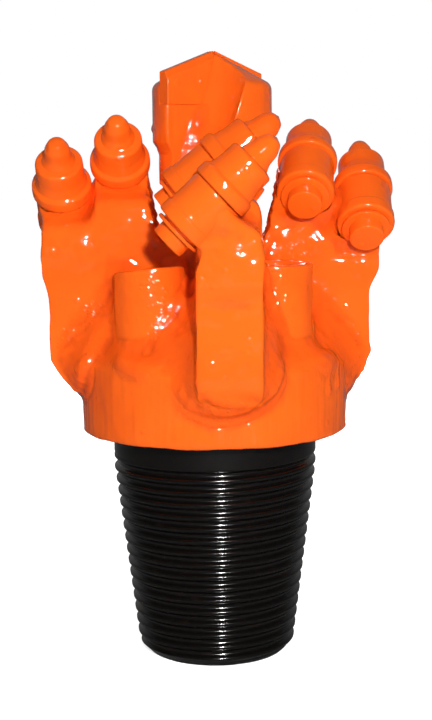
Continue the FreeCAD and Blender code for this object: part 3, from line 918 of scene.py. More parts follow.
@dataclass
class Holders:
    """Round blocks that the shanks turn in, in millimetres."""

    length: float = 20.0
    radius: float = 11.2
    rear_radius: float = 11.75
    rear_length: float = 5.4
    rear_relief: float = 0.5
    bore_radius: float = 8.06
    gap: float = 0.4
    steps: int = 128

    def solid(self, place: Matrix) -> bpy.types.Object:
        """Plain solid form of one holder, for the skin of the head to close round.

        Args:
            place: the seat.

        Returns:
            The solid at its seat.
        """
        shoulder = self.rear_length - self.length
        corners = [
            (0.0, -self.length),
            (self.rear_radius, -self.length),
            (self.rear_radius, shoulder),
            (self.radius, shoulder + 0.7),
            (self.radius, -self.gap),
            (0.0, -self.gap),
        ]
        piece = turned("blank", rounded(corners), 64)
        placed(piece, place)
        return piece

    def model(self) -> bpy.types.Object:
        """Turn one holder with its bore and rounded edges.

        Returns:
            The holder along Z.
        """
        shoulder = self.rear_length - self.length
        rear = self.rear_relief - self.length
        corners = [
            (self.bore_radius, rear + 0.3),
            (self.bore_radius + 0.3, rear),
            (self.rear_radius, rear, 1.1),
            (self.rear_radius, shoulder, 0.5),
            (self.radius, shoulder + 0.7, 0.5),
            (self.radius, -self.gap, 0.7),
            (self.bore_radius + 0.3, -self.gap),
            (self.bore_radius, -self.gap - 0.3),
            (self.bore_radius, rear + 0.3),
        ]
        outline = rounded(corners)
        dense: list[tuple[float, float]] = []
        for (ra, za), (rb, zb) in zip(outline, outline[1:]):
            parts = max(1, math.ceil(math.hypot(rb - ra, zb - za) / (1.2 * MM)))
            dense += [(ra + (rb - ra) * k / parts, za + (zb - za) * k / parts) for k in range(parts)]
        dense.append(outline[-1])
        return turned("holder", dense, self.steps)

    def build(self, teeth: Teeth, shop: Paintshop) -> None:
        """Copy, seat and paint a holder for every tooth.

        Args:
            teeth: gives the seats.
            shop: paints the pieces.
        """
        model = self.model()
        for arm_name in ARM_ANGLES:
            for row in TOOTH_ROWS:
                place = arm_name + "_" + row
                piece = copy_of(model, "holder_painted_" + place)
                placed(piece, teeth.seat(place))
                points = points_of(piece)
                seed = ARM_ANGLES[arm_name] / 90 + (13 if row == "outer" else 17)
                bore = np.array(teeth.seat(place).inverted())
                local = points @ bore[:3, :3].T + bore[:3, 3]
                outside = np.clip((np.hypot(local[:, 0], local[:, 1]) / MM - 9.0) / 2.0, 0, 1)
                swell(piece, (lumps(points, 0.009, seed) * 0.14 - 0.02) * MM * outside)
                smooth_shaded(piece)
                shop.dress(piece, shop.finishes.enamel, ["holder_" + place], ROOT_BODY)
        bpy.data.objects.remove(model)


@dataclass
class PilotHead:
    """Fluted pilot with its two cutting plates."""

    voxel: float = 0.55 * MM
    plate_voxel: float = 0.3 * MM
    softening: int = 3
    crease_degrees: float = 70.0
    wave: float = 0.1

    def build(self, shop: Paintshop) -> None:
        """Skin each blank and paint it.

        Args:
            shop: paints the pieces.
        """
        body = blank_of("pilot_body", "pilot_painted")
        skinned(body, self.voxel, self.softening)
        swell(body, lumps(points_of(body), 0.012, 31.0) * self.wave * MM)
        smooth_shaded(body, self.crease_degrees)
        shop.dress(body, shop.finishes.pilot, ["pilot_body"], ROOT_BODY)
        for side in ("front", "back"):
            node = "pilot_plate_" + side
            plate = blank_of(node, "cutting_plate_" + side)
            skinned(plate, self.plate_voxel, self.softening)
            smooth_shaded(plate, self.crease_degrees)
            shop.dress(plate, shop.finishes.teeth, [node], ROOT_BODY)


class Zone(Enum):
    """What a patch of the welded head's skin belongs to."""

    COLLAR = "collar"
    SOCKET = "pilot_socket"
    ARM_FRONT = "arm_front"
    ARM_RIGHT = "arm_right"
    ARM_BACK = "arm_back"
    ARM_LEFT = "arm_left"
    TUBE_FRONT_LEFT = "jet_tube_front_left"
    TUBE_FRONT_RIGHT = "jet_tube_front_right"
    TUBE_BACK_RIGHT = "jet_tube_back_right"
    TUBE_BACK_LEFT = "jet_tube_back_left"
    WELD = "weld"
    BEAD = "bead"
    COVERED = "covered"


def rank(zone: Zone) -> int:
    """Number that marks a zone on the skin: its position in Zone."""
    return list(Zone).index(zone)


# The zones that are nodes of the frame as they stand, and have their name
NODE_ZONES = list(Zone)[1:10]


@dataclass(frozen=True)
class Bead:
    """Run of weld in an arm's own frame, in millimetres.

    X runs outwards, Y the way the teeth cut, Z up from the collar's top. A crisp bead keeps its
    creases, the others flow together.
    """

    path: tuple[tuple[float, float, float, float], ...]
    crisp: bool = False
    ripple: float = 0.07
    stride: float = 1.4
    only: str = ""

    def build(self, arm_degrees: float, collar_top: float) -> bpy.types.Object:
        """Draw the run as a round rod whose radius ripples along it.

        Args:
            arm_degrees: the arm's bearing.
            collar_top: height of the collar's top.

        Returns:
            The rod as a closed mesh.
        """
        stops = np.array(self.path)
        lengths = np.linalg.norm(np.diff(stops[:, :3], axis=0), axis=1)
        along = np.concatenate([[0.0], np.cumsum(lengths)])
        count = max(3, round(along[-1] / self.stride) + 1)
        at = np.linspace(0.0, along[-1], count)
        places = np.column_stack([np.interp(at, along, stops[:, k]) for k in range(4)])
        if self.crisp:
            places[:, 3] *= 1.0 + self.ripple * np.cos(np.pi * np.arange(count))
        places[:, 2] += collar_top
        clear_selection()
        bpy.ops.curve.primitive_nurbs_path_add()
        rod = bpy.context.active_object
        rod.name = "blank"
        rod.data.splines.clear()
        spline = rod.data.splines.new("POLY")
        spline.points.add(count - 1)
        for point, (x, y, z, radius) in zip(spline.points, places):
            point.co = (x * MM, y * MM, z * MM, 1.0)
            point.radius = radius
        rod.data.dimensions = "3D"
        rod.data.bevel_depth = MM
        rod.data.bevel_resolution = 3
        rod.data.use_fill_caps = True
        bpy.ops.object.convert(target="MESH")
        placed(rod, Matrix.Rotation(math.radians(arm_degrees), 4, "Z"))
        return rod


# Each stop of a run is X, Y, Z and the bead's radius there, in millimetres
WELD_RUNS = (
    Bead(
        (
            (47.5, 24.0, 3.0, 3.2),
            (52.0, 23.2, -1.2, 4.2),
            (53.8, 20.8, -5.2, 4.9),
            (55.0, 16.5, -8.5, 5.1),
            (55.8, 10.0, -11.1, 5.3),
            (56.2, 4.0, -12.4, 5.3),
            (55.9, -2.0, -12.4, 5.2),
            (54.4, -7.5, -10.6, 4.9),
            (51.9, -12.0, -7.6, 4.3),
            (49.6, -15.5, -4.6, 3.6),
            (46.7, -18.5, -2.0, 3.0),
        ),
        crisp=True,
    ),
    Bead(
        (
            (65.4, -6.2, -1.5, 1.5),
            (64.6, -4.8, -5.5, 2.1),
            (63.0, -1.0, -8.8, 2.4),
            (61.8, 4.5, -10.6, 2.4),
            (61.0, 9.5, -11.4, 2.2),
            (60.8, 14.0, -10.5, 2.0),
            (60.5, 18.5, -7.0, 1.8),
        ),
        crisp=True,
    ),
    Bead(
        (
            (41.5, 17.6, 27.0, 1.6),
            (43.1, 17.9, 25.6, 1.7),
            (48.4, 18.0, 20.8, 1.8),
            (50.8, 18.3, 14.4, 2.0),
            (58.4, 17.8, 10.7, 1.8),
            (62.2, 17.4, 4.4, 1.7),
            (62.9, 17.2, -1.9, 1.7),
            (58.5, 19.0, -8.0, 1.8),
        ),
        crisp=True,
    ),
    Bead(
        (
            (38.0, -6.3, 24.5, 1.6),
            (41.6, -6.2, 21.5, 1.7),
            (50.0, -6.1, 15.0, 1.8),
            (55.4, -6.0, 9.9, 1.8),
            (60.4, -5.9, 6.9, 1.7),
            (62.9, -5.8, 1.5, 1.7),
            (61.5, -6.2, -5.5, 1.7),
            (57.5, -9.0, -9.5, 1.8),
        ),
        crisp=True,
    ),
    Bead(
        (
            (36.5, -15.5, 20.5, 1.8),
            (38.0, -19.5, 18.2, 1.7),
            (38.9, -22.8, 12.8, 1.7),
            (39.3, -25.0, 8.3, 1.7),
            (42.0, -27.0, 4.0, 2.0),
        ),
        crisp=True,
    ),
    Bead(
        (
            (38.5, -38.0, 3.0, 3.2),
            (42.5, -33.0, 1.0, 3.9),
            (45.2, -28.5, 0.0, 4.2),
            (46.5, -24.0, 0.0, 3.8),
            (46.0, -20.0, 1.5, 3.0),
        ),
    ),
    Bead(
        ((31.3, 45.4, 0.0, 1.3), (31.0, 45.1, -7.0, 1.3), (31.2, 45.3, -12.5, 1.8)),
        crisp=True,
        only="front",
    ),
    Bead(
        ((24.8, 49.6, 0.0, 1.2), (24.5, 49.3, -6.0, 1.1), (24.7, 49.5, -11.0, 1.6)),
        crisp=True,
        only="front",
    ),
    Bead(
        ((47.0, 21.0, 7.0, 4.5), (52.5, 21.5, 1.5, 4.5), (56.0, 20.5, -4.0, 4.0), (57.5, 18.0, -8.0, 3.5))
    ),
    Bead(
        ((34.0, 19.5, 24.0, 4.0), (40.0, 20.0, 17.0, 4.5), (46.0, 20.5, 10.0, 5.0), (55.0, 19.5, -3.0, 4.5))
    ),
    Bead(
        ((38.0, 16.4, 25.0, 3.5), (44.0, 16.4, 18.0, 3.5), (56.5, 16.0, 6.5, 3.5), (59.5, 15.8, 0.0, 3.5))
    ),
    Bead(
        ((36.0, -4.8, 22.0, 3.5), (43.0, -4.8, 16.5, 3.5), (56.0, -4.8, 5.5, 3.5), (59.0, -4.8, -1.0, 3.3))
    ),
    Bead(
        ((34.0, -9.0, 19.0, 4.0), (40.0, -9.0, 14.0, 4.5), (46.0, -9.0, 8.5, 5.0), (55.5, -8.0, -3.0, 4.5))
    ),
    Bead(
        (
            (38.0, -17.5, 11.0, 4.0),
            (42.5, -16.5, 6.5, 4.5),
            (50.5, -14.0, -3.5, 4.0),
            (53.0, -11.5, -8.0, 3.5),
        )
    ),
    Bead(((34.0, -14.0, 17.0, 3.5), (37.0, -17.0, 12.0, 4.0), (38.5, -20.0, 7.0, 4.0))),
    Bead(((18.0, -10.5, 0.0, 5.0), (18.0, -10.5, 33.0, 5.0))),
    Bead(((25.0, -10.5, 0.0, 5.0), (25.0, -10.5, 31.0, 5.0))),
    Bead(((31.0, -11.0, 0.0, 5.0), (31.0, -11.0, 26.0, 5.0))),
    Bead(
        ((37.0, 17.5, 28.0, 2.5), (38.5, 19.5, 22.0, 3.0), (39.0, 21.5, 16.0, 3.2), (39.5, 24.0, 10.0, 3.2))
    ),
    Bead(((21.5, -41.3, 1.0, 3.2), (37.0, -37.0, 1.0, 3.4), (41.3, -21.5, 1.0, 3.2))),
)


@dataclass
class PaintedHead:
    """Collar, arms, tubes and welds under one coat of paint.

    The blanks are joined and given one skin. Where a strongly smoothed copy of the skin stands
    outside the lightly smoothed one there is a corner, which the weld fills. The skin is then parted
    by node, with its normals kept, so that no seam shows.
    """

    voxel: float = 0.8 * MM
    closing: float = 0.8
    edge_passes: int = 10
    fillet_passes: int = 130
    zone_passes: int = 12
    fillet_start: float = 0.04
    fillet_full: float = 0.55
    skin_foot: float = 94.0
    bore_radius: float = 19.7
    bore_top: float = 109.0
    collar_top: float = 126.0
    collar_radius: float = 55.5
    tube_circle: float = 36.0
    tube_radius: float = 14.3
    wall_reach: float = 0.12
    toe_cut: float = 6.0
    toe_level: float = -13.5
    toe_round: float = 6.0
    edge_start: float = 54.0
    edge_reach: float = 12.8
    rim_inside: float = 52.5
    rim_top: float = 98.3
    rim_reach: float = 6.0
    rim_sharpness: int = 6
    shoulder_share: float = 0.85
    coat_sink: float = 0.08
    plate_faces: tuple[float, float] = (-6.75, 18.55)
    weld_lump: float = 0.34
    weld_grain: float = 0.14
    plate_wave: float = 0.42
    plate_ripple: float = 0.1
    cut_grain: float = 0.7
    elbow_ripple: float = 0.42
    ring_room: float = 10.2
    ring_room_depth: float = 1.15
    collar_wave: float = 0.2

    def build(self, shop: Paintshop, holders: "Holders", teeth: "Teeth") -> None:
        """Make the skin, shape it, part it and paint it.

        Args:
            shop: paints the pieces.
            holders: gives the solid form of a holder.
            teeth: gives the seats.
        """
        blanks = self.blanks(holders, teeth)
        hard = joined(blanks, "head_blanks")
        skin = copy_of(hard, "head_skin")
        finish_with(skin, "REMESH", mode="VOXEL", voxel_size=self.voxel, adaptivity=0.0)
        self.grow(skin, self.closing)
        finish_with(skin, "REMESH", mode="VOXEL", voxel_size=self.voxel, adaptivity=0.0)
        self.grow(skin, -self.closing)
        nearest = self.nearest(hard, skin)
        bpy.data.objects.remove(hard)
        set_points(skin, self.rounded_toes(self.trimmed(points_of(skin))))
        fill = self.shape(skin, nearest)
        zones = self.zones(skin, nearest, fill)
        self.texture(skin, fill, zones)
        set_points(skin, self.clear_of_rings(points_of(skin), teeth))
        self.part(skin, fill, zones, shop)

    def blanks(self, holders: "Holders", teeth: "Teeth") -> list[bpy.types.Object]:
        """Copies of all that the paint joins, each marked with its zone.

        Args:
            holders: gives the solid form of a holder.
            teeth: gives the seats.

        Returns:
            The marked copies.
        """
        collar = blank_of("pin_and_collar", "blank")
        with editing(collar):
            cut_level(self.skin_foot, fill=True)
        made = [(collar, Zone.COLLAR)]
        made += [(blank_of(zone.value, "blank"), zone) for zone in NODE_ZONES]
        for name in ARM_ANGLES:
            weld = blank_of("arm_weld_" + name, "blank")
            with editing(weld):
                cut_level(self.collar_top - self.toe_cut, fill=True)
            made.append((weld, Zone.WELD))
        made += [(blank_of("tube_weld_" + name, "blank"), Zone.WELD) for name in TUBE_NAMES]
        for name, angle in ARM_ANGLES.items():
            for run in WELD_RUNS:
                if run.only in ("", name):
                    zone = Zone.BEAD if run.crisp else Zone.WELD
                    made.append((run.build(angle, self.collar_top), zone))
        made.append((blank_of("pilot_body", "blank"), Zone.COVERED))
        for place in teeth.places():
            made.append((holders.solid(teeth.seat(place)), Zone.COVERED))
        for piece, zone in made:
            mark = piece.data.attributes.new("zone", "INT", "FACE")
            mark.data.foreach_set("value", np.full(len(piece.data.polygons), rank(zone), np.int32))
        return [piece for piece, _ in made]

    @staticmethod
    def grow(skin: bpy.types.Object, distance: float) -> None:
        """Move the whole skin out or in, which closes narrow gaps when it is remade in between.

        Args:
            skin: the raw skin.
            distance: millimetres outwards.
        """
        set_points(skin, points_of(skin) + normals_of(skin) * distance * MM)

    @staticmethod
    def nearest(hard: bpy.types.Object, skin: bpy.types.Object) -> np.ndarray:
        """Zone of the blank that each vertex of the raw skin lies on.

        Args:
            hard: the joined blanks with their marks.
            skin: the raw skin.

        Returns:
            For each vertex the position of its zone in Zone.
        """
        marks = np.zeros(len(hard.data.polygons), np.int32)
        hard.data.attributes["zone"].data.foreach_get("value", marks)
        tree = BVHTree.FromObject(hard, bpy.context.evaluated_depsgraph_get())
        return np.array([marks[tree.find_nearest(Vector(point))[2]] for point in points_of(skin)])

    def trimmed(self, points: np.ndarray) -> np.ndarray:
        """Take the side arms' outer edges in as far as they were cut by hand.

        Args:
            points: rows of x, y, z.

        Returns:
            The moved points.
        """
        moved = points.copy()
        height = points[:, 2] / MM - self.collar_top
        for name, levels, cuts in EDGE_CUTS:
            turn = math.radians(ARM_ANGLES[name])
            outwards = np.array([math.cos(turn), math.sin(turn), 0.0])
            out = points @ outwards / MM
            share = np.clip((out - self.edge_start) / self.edge_reach, 0.0, 1.0)
            moved -= outwards * (np.interp(height, levels, cuts) * share * MM)[:, None]
        return moved

    def shape(self, skin: bpy.types.Object, nearest: np.ndarray) -> np.ndarray:
        """Round the skin's edges, let the welds flow and fill the corners.

        Args:
            skin: the raw skin.
            nearest: each vertex's blank.

        Returns:
            How much of each vertex is weld, 0 to 1.
        """
        weld = spread(skin, (nearest == rank(Zone.WELD)).astype(float), self.zone_passes)
        bead = spread(skin, (nearest == rank(Zone.BEAD)).astype(float), self.zone_passes // 3)
        finish_with(skin, "SMOOTH", factor=0.5, iterations=self.edge_passes)
        light = points_of(skin)
        outwards = normals_of(skin)
        finish_with(skin, "SMOOTH", factor=0.5, iterations=self.fillet_passes)
        strong = points_of(skin)
        rise = np.einsum("ij,ij->i", strong - light, outwards) / MM
        fill = np.clip((rise - self.fillet_start) / (self.fillet_full - self.fillet_start), 0.0, 1.0)
        fill = fill * fill * (3.0 - 2.0 * fill)
        flow = np.maximum(fill, weld * weld * (3.0 - 2.0 * weld)) * (1.0 - 0.7 * bead)
        flow = np.maximum(flow, self.shoulders(light))
        points = self.trued(light + (strong - light) * flow[:, None])
        set_points(skin, self.squared_rim(points))
        return np.clip(np.maximum(fill, weld + bead), 0.0, 1.0)

    def shoulders(self, points: np.ndarray) -> np.ndarray:
        """How much the paint and weld flow together under the holders, on the side that leads.

        Args:
            points: rows of x, y, z.

        Returns:
            0 to 1 for each point.
        """
        share = np.zeros(len(points))
        for degrees in ARM_ANGLES.values():
            out, ahead, height = self.in_arm(points, degrees)
            level = np.clip((height - 40.0) / 9.0, 0.0, 1.0)
            side = np.clip((ahead - 5.0) / 3.0, 0.0, 1.0) * (ahead < 26.0) * (out > 22.0)
            share = np.maximum(share, level * side * self.shoulder_share)
        return share

    def in_arm(self, points: np.ndarray, degrees: float) -> tuple[np.ndarray, np.ndarray, np.ndarray]:
        """Coordinates in an arm's own frame, in millimetres.

        Args:
            points: rows of x, y, z.
            degrees: the arm's bearing.

        Returns:
            Outwards, the way the teeth cut, and above the collar's top.
        """
        turn = math.radians(degrees)
        out = (points[:, 0] * math.cos(turn) + points[:, 1] * math.sin(turn)) / MM
        ahead = (points[:, 1] * math.cos(turn) - points[:, 0] * math.sin(turn)) / MM
        return out, ahead, points[:, 2] / MM - self.collar_top

    def rounded_toes(self, points: np.ndarray) -> np.ndarray:
        """Round the lower corners of the arms' plates where they stand out over the collar.

        Args:
            points: rows of x, y, z.

        Returns:
            The moved points.
        """
        moved = points.copy()
        middle = (self.plate_faces[0] + self.plate_faces[1]) / 2
        half = (self.plate_faces[1] - self.plate_faces[0]) / 2
        for degrees in ARM_ANGLES.values():
            out, ahead, height = self.in_arm(points, degrees)
            aside = np.maximum(np.abs(ahead - middle) - half + self.toe_round, 0.0)
            down = np.maximum(self.toe_level + self.toe_round - height, 0.0)
            square = np.maximum(aside, down)
            gain = square / np.maximum(np.hypot(aside, down), 1e-6)
            wanted = (aside > 0.0) & (down > 0.0) & (aside < 2 * self.toe_round) & (down < 2 * self.toe_round)
            share = np.clip((out - 56.5) / 3.0, 0.0, 1.0) * wanted * (1.0 - gain) * MM
            across = np.array([-math.sin(math.radians(degrees)), math.cos(math.radians(degrees)), 0.0])
            moved -= across * (np.sign(ahead - middle) * aside * share)[:, None]
            moved[:, 2] += down * share
        return moved

    def trued(self, points: np.ndarray) -> np.ndarray:
        """Take the flats out of the turned walls of the collar and the tubes.

        Args:
            points: rows of x, y, z.

        Returns:
            The moved points.
        """
        moved = points.copy()
        reach = self.tube_circle / math.sqrt(2.0)
        walls = [(0.0, 0.0, self.collar_radius)]
        walls += [(x, y, self.tube_radius) for x in (-reach, reach) for y in (-reach, reach)]
        for x, y, wall in walls:
            across = moved[:, :2] / MM - np.array([x, y])
            radius = np.maximum(np.hypot(across[:, 0], across[:, 1]), 1e-6)
            off = wall - radius
            share = np.clip(2.0 - np.abs(off) / self.wall_reach, 0.0, 1.0)
            moved[:, :2] += across * (off * share / radius)[:, None] * MM
        return moved

    def squared_rim(self, points: np.ndarray) -> np.ndarray:
        """Sharpen the collar's lower edge to the small round that a lathe leaves.

        Args:
            points: rows of x, y, z.

        Returns:
            The moved points.
        """
        radius = np.hypot(points[:, 0], points[:, 1])
        out = np.maximum(radius / MM - self.rim_inside, 0.0)
        down = np.maximum(self.rim_top - points[:, 2] / MM, 0.0)
        reach = np.maximum(np.hypot(out, down), 1e-6)
        power = self.rim_sharpness
        corner = ((out / reach) ** power + (down / reach) ** power) ** (-1 / power)
        gain = np.where((out > 0.0) & (down > 0.0) & (down < self.rim_reach), corner, 1.0)
        moved = points.copy()
        moved[:, :2] *= ((radius + (gain - 1.0) * out * MM) / np.maximum(radius, 1e-9))[:, None]
        moved[:, 2] -= (gain - 1.0) * down * MM
        return moved

    def zones(self, skin: bpy.types.Object, nearest: np.ndarray, fill: np.ndarray) -> np.ndarray:
        """Which zone each vertex of the finished skin belongs to.

        Args:
            skin: the shaped skin.
            nearest: each vertex's blank.
            fill: how much of each vertex is weld.

        Returns:
            For each vertex the position of its zone in Zone.
        """
        points = points_of(skin)
        found = nearest.copy()
        covered = found == rank(Zone.COVERED)
        bead = found == rank(Zone.BEAD)
        found[((fill > 0.4) & ~bead) | (covered & (fill > 0.02))] = rank(Zone.WELD)
        radius = np.hypot(points[:, 0], points[:, 1]) / MM
        height = points[:, 2] / MM
        inner = (radius < self.bore_radius) & (height < self.bore_top)
        found[inner | (height < self.skin_foot + 1.0)] = rank(Zone.COVERED)
        return found

    def texture(self, skin: bpy.types.Object, fill: np.ndarray, zones: np.ndarray) -> None:
        """Leave weld ripples, sags and brush lines in the skin.

        Args:
            skin: the shaped skin.
            fill: how much of each vertex is weld.
            zones: each vertex's zone.
        """
        points = points_of(skin)
        outwards = normals_of(skin)
        weld = lumps(points, 0.009, 51.0) * self.weld_lump + lumps(points, 0.003, 52.0) * self.weld_grain
        plate = lumps(points, 0.014, 3.0) * self.plate_wave
        plate += lumps(points, 0.005, 4.0) * self.plate_ripple
        brushed = lumps(points * np.array([1.0, 1.0, 0.2]), 0.007, 1.0) * self.collar_wave
        upright = 1.0 - np.abs(outwards[:, 2])
        is_collar = (zones == rank(Zone.COLLAR)) * upright
        cut = self.flame_cut(points, outwards, zones) * lumps(points, 0.0028, 61.0, 3) * self.cut_grain
        cut += self.elbows(points) * lumps(points, 0.0065, 62.0) * self.elbow_ripple
        heights = weld * fill + (plate + brushed * is_collar) * (1.0 - fill) + cut - self.coat_sink
        set_points(skin, points + outwards * heights[:, None] * MM)

    def clear_of_rings(self, points: np.ndarray, teeth: "Teeth") -> np.ndarray:
        """Keep the paint out of the space that the retaining rings turn in.

        Args:
            points: rows of x, y, z.
            teeth: gives the seats and where a ring sits on its shank.

        Returns:
            The points, moved out of the rings' way.
        """
        middle = teeth.shape.ring_face - teeth.shape.ring_thickness / 2
        for place in teeth.places():
            seat = np.array(teeth.seat(place))
            into = np.linalg.inv(seat)
            own = points @ into[:3, :3].T + into[:3, 3]
            radius = np.hypot(own[:, 0], own[:, 1]) / MM
            beside = np.abs(own[:, 2] / MM - middle) < self.ring_room_depth
            near = beside & (radius > self.ring_room / 2) & (radius < self.ring_room)
            own[:, :2] *= np.where(near, self.ring_room / np.maximum(radius, 1.0), 1.0)[:, None]
            points = np.where(near[:, None], own @ seat[:3, :3].T + seat[:3, 3], points)
        return points

    def elbows(self, points: np.ndarray) -> np.ndarray:
        """Where the paint ran thick, under the holders and round the outer edges' elbows.

        Args:
            points: rows of x, y, z.

        Returns:
            0 to 1 for each point.
        """
        share = np.zeros(len(points))
        for degrees in ARM_ANGLES.values():
            out, ahead, height = self.in_arm(points, degrees)
            beside = np.clip((out - 20.0) / 4.0, 0.0, 1.0) * (np.abs(ahead - 6.0) < 16.0)
            share = np.maximum(share, beside * np.clip(1.6 - np.abs(height - 47.0) / 8.0, 0.0, 1.0))
        return share

    def flame_cut(self, points: np.ndarray, outwards: np.ndarray, zones: np.ndarray) -> np.ndarray:
        """Where the fingers' inner edges were cut by flame and left rough.

        Args:
            points: rows of x, y, z.
            outwards: the normals there.
            zones: each vertex's zone.

        Returns:
            0 to 1 for each point.
        """
        share = np.zeros(len(points))
        for name, degrees in ARM_ANGLES.items():
            turn = math.radians(degrees)
            inwards = -(outwards[:, 0] * math.cos(turn) + outwards[:, 1] * math.sin(turn))
            height = self.in_arm(points, degrees)[2]
            edge = np.clip((inwards - 0.35) / 0.3, 0.0, 1.0) * (height > 40.0)
            share += edge * (zones == rank(Zone("arm_" + name)))
        return share

    def part(
        self, skin: bpy.types.Object, fill: np.ndarray, zones: np.ndarray, shop: Paintshop
    ) -> None:
        """Part the skin by node and weld sector, and paint each part.

        Args:
            skin: the whole skin, which goes.
            fill: how much of each vertex is weld.
            zones: each vertex's zone.
            shop: paints the pieces.
        """
        mesh = skin.data
        bead = zones == rank(Zone.BEAD)
        zones = np.where(bead, rank(Zone.WELD), zones)
        marks = {
            "weld": fill,
            # hollow and sunken set painted shade in creases and broad hollows; weld sets painted shade on the
            # welds and their grit
            "hollow": self.hollows(skin),
            "sunken": self.hollows(skin, 110, 1.6),
            "brushed": self.brushed(skin, fill, zones),
            "spattered": self.spattered(skin, bead, zones),
        }
        for name, values in marks.items():
            mark = mesh.attributes.new(name, "FLOAT", "POINT")
            mark.data.foreach_set("value", values.astype(np.float32))
        kept = mesh.attributes.new("skin_normal", "FLOAT_VECTOR", "POINT")
        kept.data.foreach_set("vector", normals_of(skin).astype(np.float32).ravel())
        corners = np.zeros(len(mesh.loops), np.int32)
        mesh.loops.foreach_get("vertex_index", corners)
        starts = np.zeros(len(mesh.polygons), np.int32)
        mesh.polygons.foreach_get("loop_start", starts)
        face_zone = zones[corners[starts]]
        points = points_of(skin)[corners[starts]]
        bearing = np.degrees(np.arctan2(points[:, 1], points[:, 0]))
        for index, zone in enumerate(Zone):
            if zone in (Zone.COVERED, Zone.BEAD):
                continue
            if zone is not Zone.WELD:
                node = "pin_and_collar" if zone is Zone.COLLAR else zone.value
                piece = self.patch(skin, "painted_" + zone.value, face_zone == index)
                shop.dress(piece, shop.finishes.head, [node], ROOT_BODY)
                continue
            for name, angle in ARM_ANGLES.items():
                off = (bearing - angle + 180.0) % 360.0 - 180.0
                sector = (off >= -33.0) & (off < 57.0)
                piece = self.patch(skin, "weld_build_up_" + name, (face_zone == index) & sector)
                nodes = ["arm_weld_" + name, "tube_weld_" + TUBE_AHEAD_OF_ARM[name]]
                shop.dress(piece, shop.finishes.head, nodes, ROOT_BODY)
        bpy.data.objects.remove(skin)

    @staticmethod
    def hollows(skin: bpy.types.Object, passes: int = 24, full: float = 0.55) -> np.ndarray:
        """How deep each vertex lies in a crease, which sets the painted shade there.

        Args:
            skin: the finished skin.
            passes: smoothing that the crease is measured against.
            full: depth in millimetres that counts as a full crease.

        Returns:
            0 on open surface to 1 in a crease.
        """
        points = points_of(skin)
        even = np.column_stack([spread(skin, points[:, k], passes) for k in range(3)])
        rise = np.einsum("ij,ij->i", even - points, normals_of(skin)) / MM
        return np.clip(rise / full - 0.12, 0.0, 1.0)

    @staticmethod
    def spattered(skin: bpy.types.Object, bead: np.ndarray, zones: np.ndarray) -> np.ndarray:
        """How much weld spatter lies under the paint: round the beads and up the tubes.

        Args:
            skin: the finished skin.
            bead: true where a vertex is on a crisp bead.
            zones: each vertex's zone.

        Returns:
            0 to 1.
        """
        tubes = (zones >= rank(Zone.TUBE_FRONT_LEFT)) & (zones <= rank(Zone.TUBE_BACK_LEFT))
        cloud = np.clip(lumps(points_of(skin), 0.03, 71.0) * 2.5 + 0.4, 0.0, 1.0)
        near = np.clip(spread(skin, bead.astype(float), 60) * 2.2, 0.0, 1.0)
        return np.clip(near + tubes * cloud * 0.8, 0.0, 1.0)

    @staticmethod
    def brushed(skin: bpy.types.Object, fill: np.ndarray, zones: np.ndarray) -> np.ndarray:
        """How much of the collar's upright brush lines shows at each vertex.

        Args:
            skin: the finished skin.
            fill: how much of each vertex is weld.
            zones: each vertex's zone.

        Returns:
            0 to 1.
        """
        upright = 1.0 - np.abs(normals_of(skin)[:, 2])
        return upright * (zones == rank(Zone.COLLAR)) * (1.0 - fill)

    @staticmethod
    def patch(skin: bpy.types.Object, name: str, wanted: np.ndarray) -> bpy.types.Object:
        """Copy of part of the skin with the whole skin's normals.

        Args:
            skin: the whole skin.
            name: the patch's name.
            wanted: for each face, whether it stays.

        Returns:
            The patch.
        """
        piece = bpy.data.objects.new(name, skin.data.copy())
        bpy.context.scene.collection.objects.link(piece)
        mesh = piece.data
        mesh.vertices.foreach_set("select", np.zeros(len(mesh.vertices), bool))
        mesh.edges.foreach_set("select", np.zeros(len(mesh.edges), bool))
        mesh.polygons.foreach_set("select", ~wanted)
        take_up(piece)
        bpy.context.tool_settings.mesh_select_mode = (False, False, True)
        bpy.ops.object.mode_set(mode="EDIT")
        bpy.ops.mesh.delete(type="FACE")
        bpy.ops.object.mode_set(mode="OBJECT")
        bpy.ops.object.shade_smooth()
        normals = np.zeros(len(mesh.vertices) * 3, np.float32)
        mesh.attributes["skin_normal"].data.foreach_get("vector", normals)
        mesh.normals_split_custom_set_from_vertices(normals.reshape(-1, 3))
        mesh.attributes.remove(mesh.attributes["skin_normal"])
        return piece


# Arm, heights above the collar's top, and how far its outer edge is taken in there, in millimetres
EDGE_CUTS = (
    ("left", (-22.0, -13.0, -6.0, 0.0, 28.0, 36.0, 54.0, 60.0), (7.0, 6.0, 3.2, 0.0, 0.0, 2.0, 2.0, 0.0)),
    (
        "right",
        (-22.0, -9.0, -3.0, 1.0, 5.0, 28.0, 36.0, 50.0, 57.0),
        (4.5, 4.2, 3.2, 1.1, 2.2, 2.2, 2.8, 2.8, 0.0),
    ),
    ("front", (24.0, 36.0, 54.0, 60.0), (0.0, 2.0, 2.0, 0.0)),
    ("back", (24.0, 36.0, 54.0, 60.0), (0.0, 2.0, 2.0, 0.0)),
)
TUBE_AHEAD_OF_ARM = {
    "left": "front_left",
    "front": "front_right",
    "right": "back_right",
    "back": "back_left",
}


# Studio


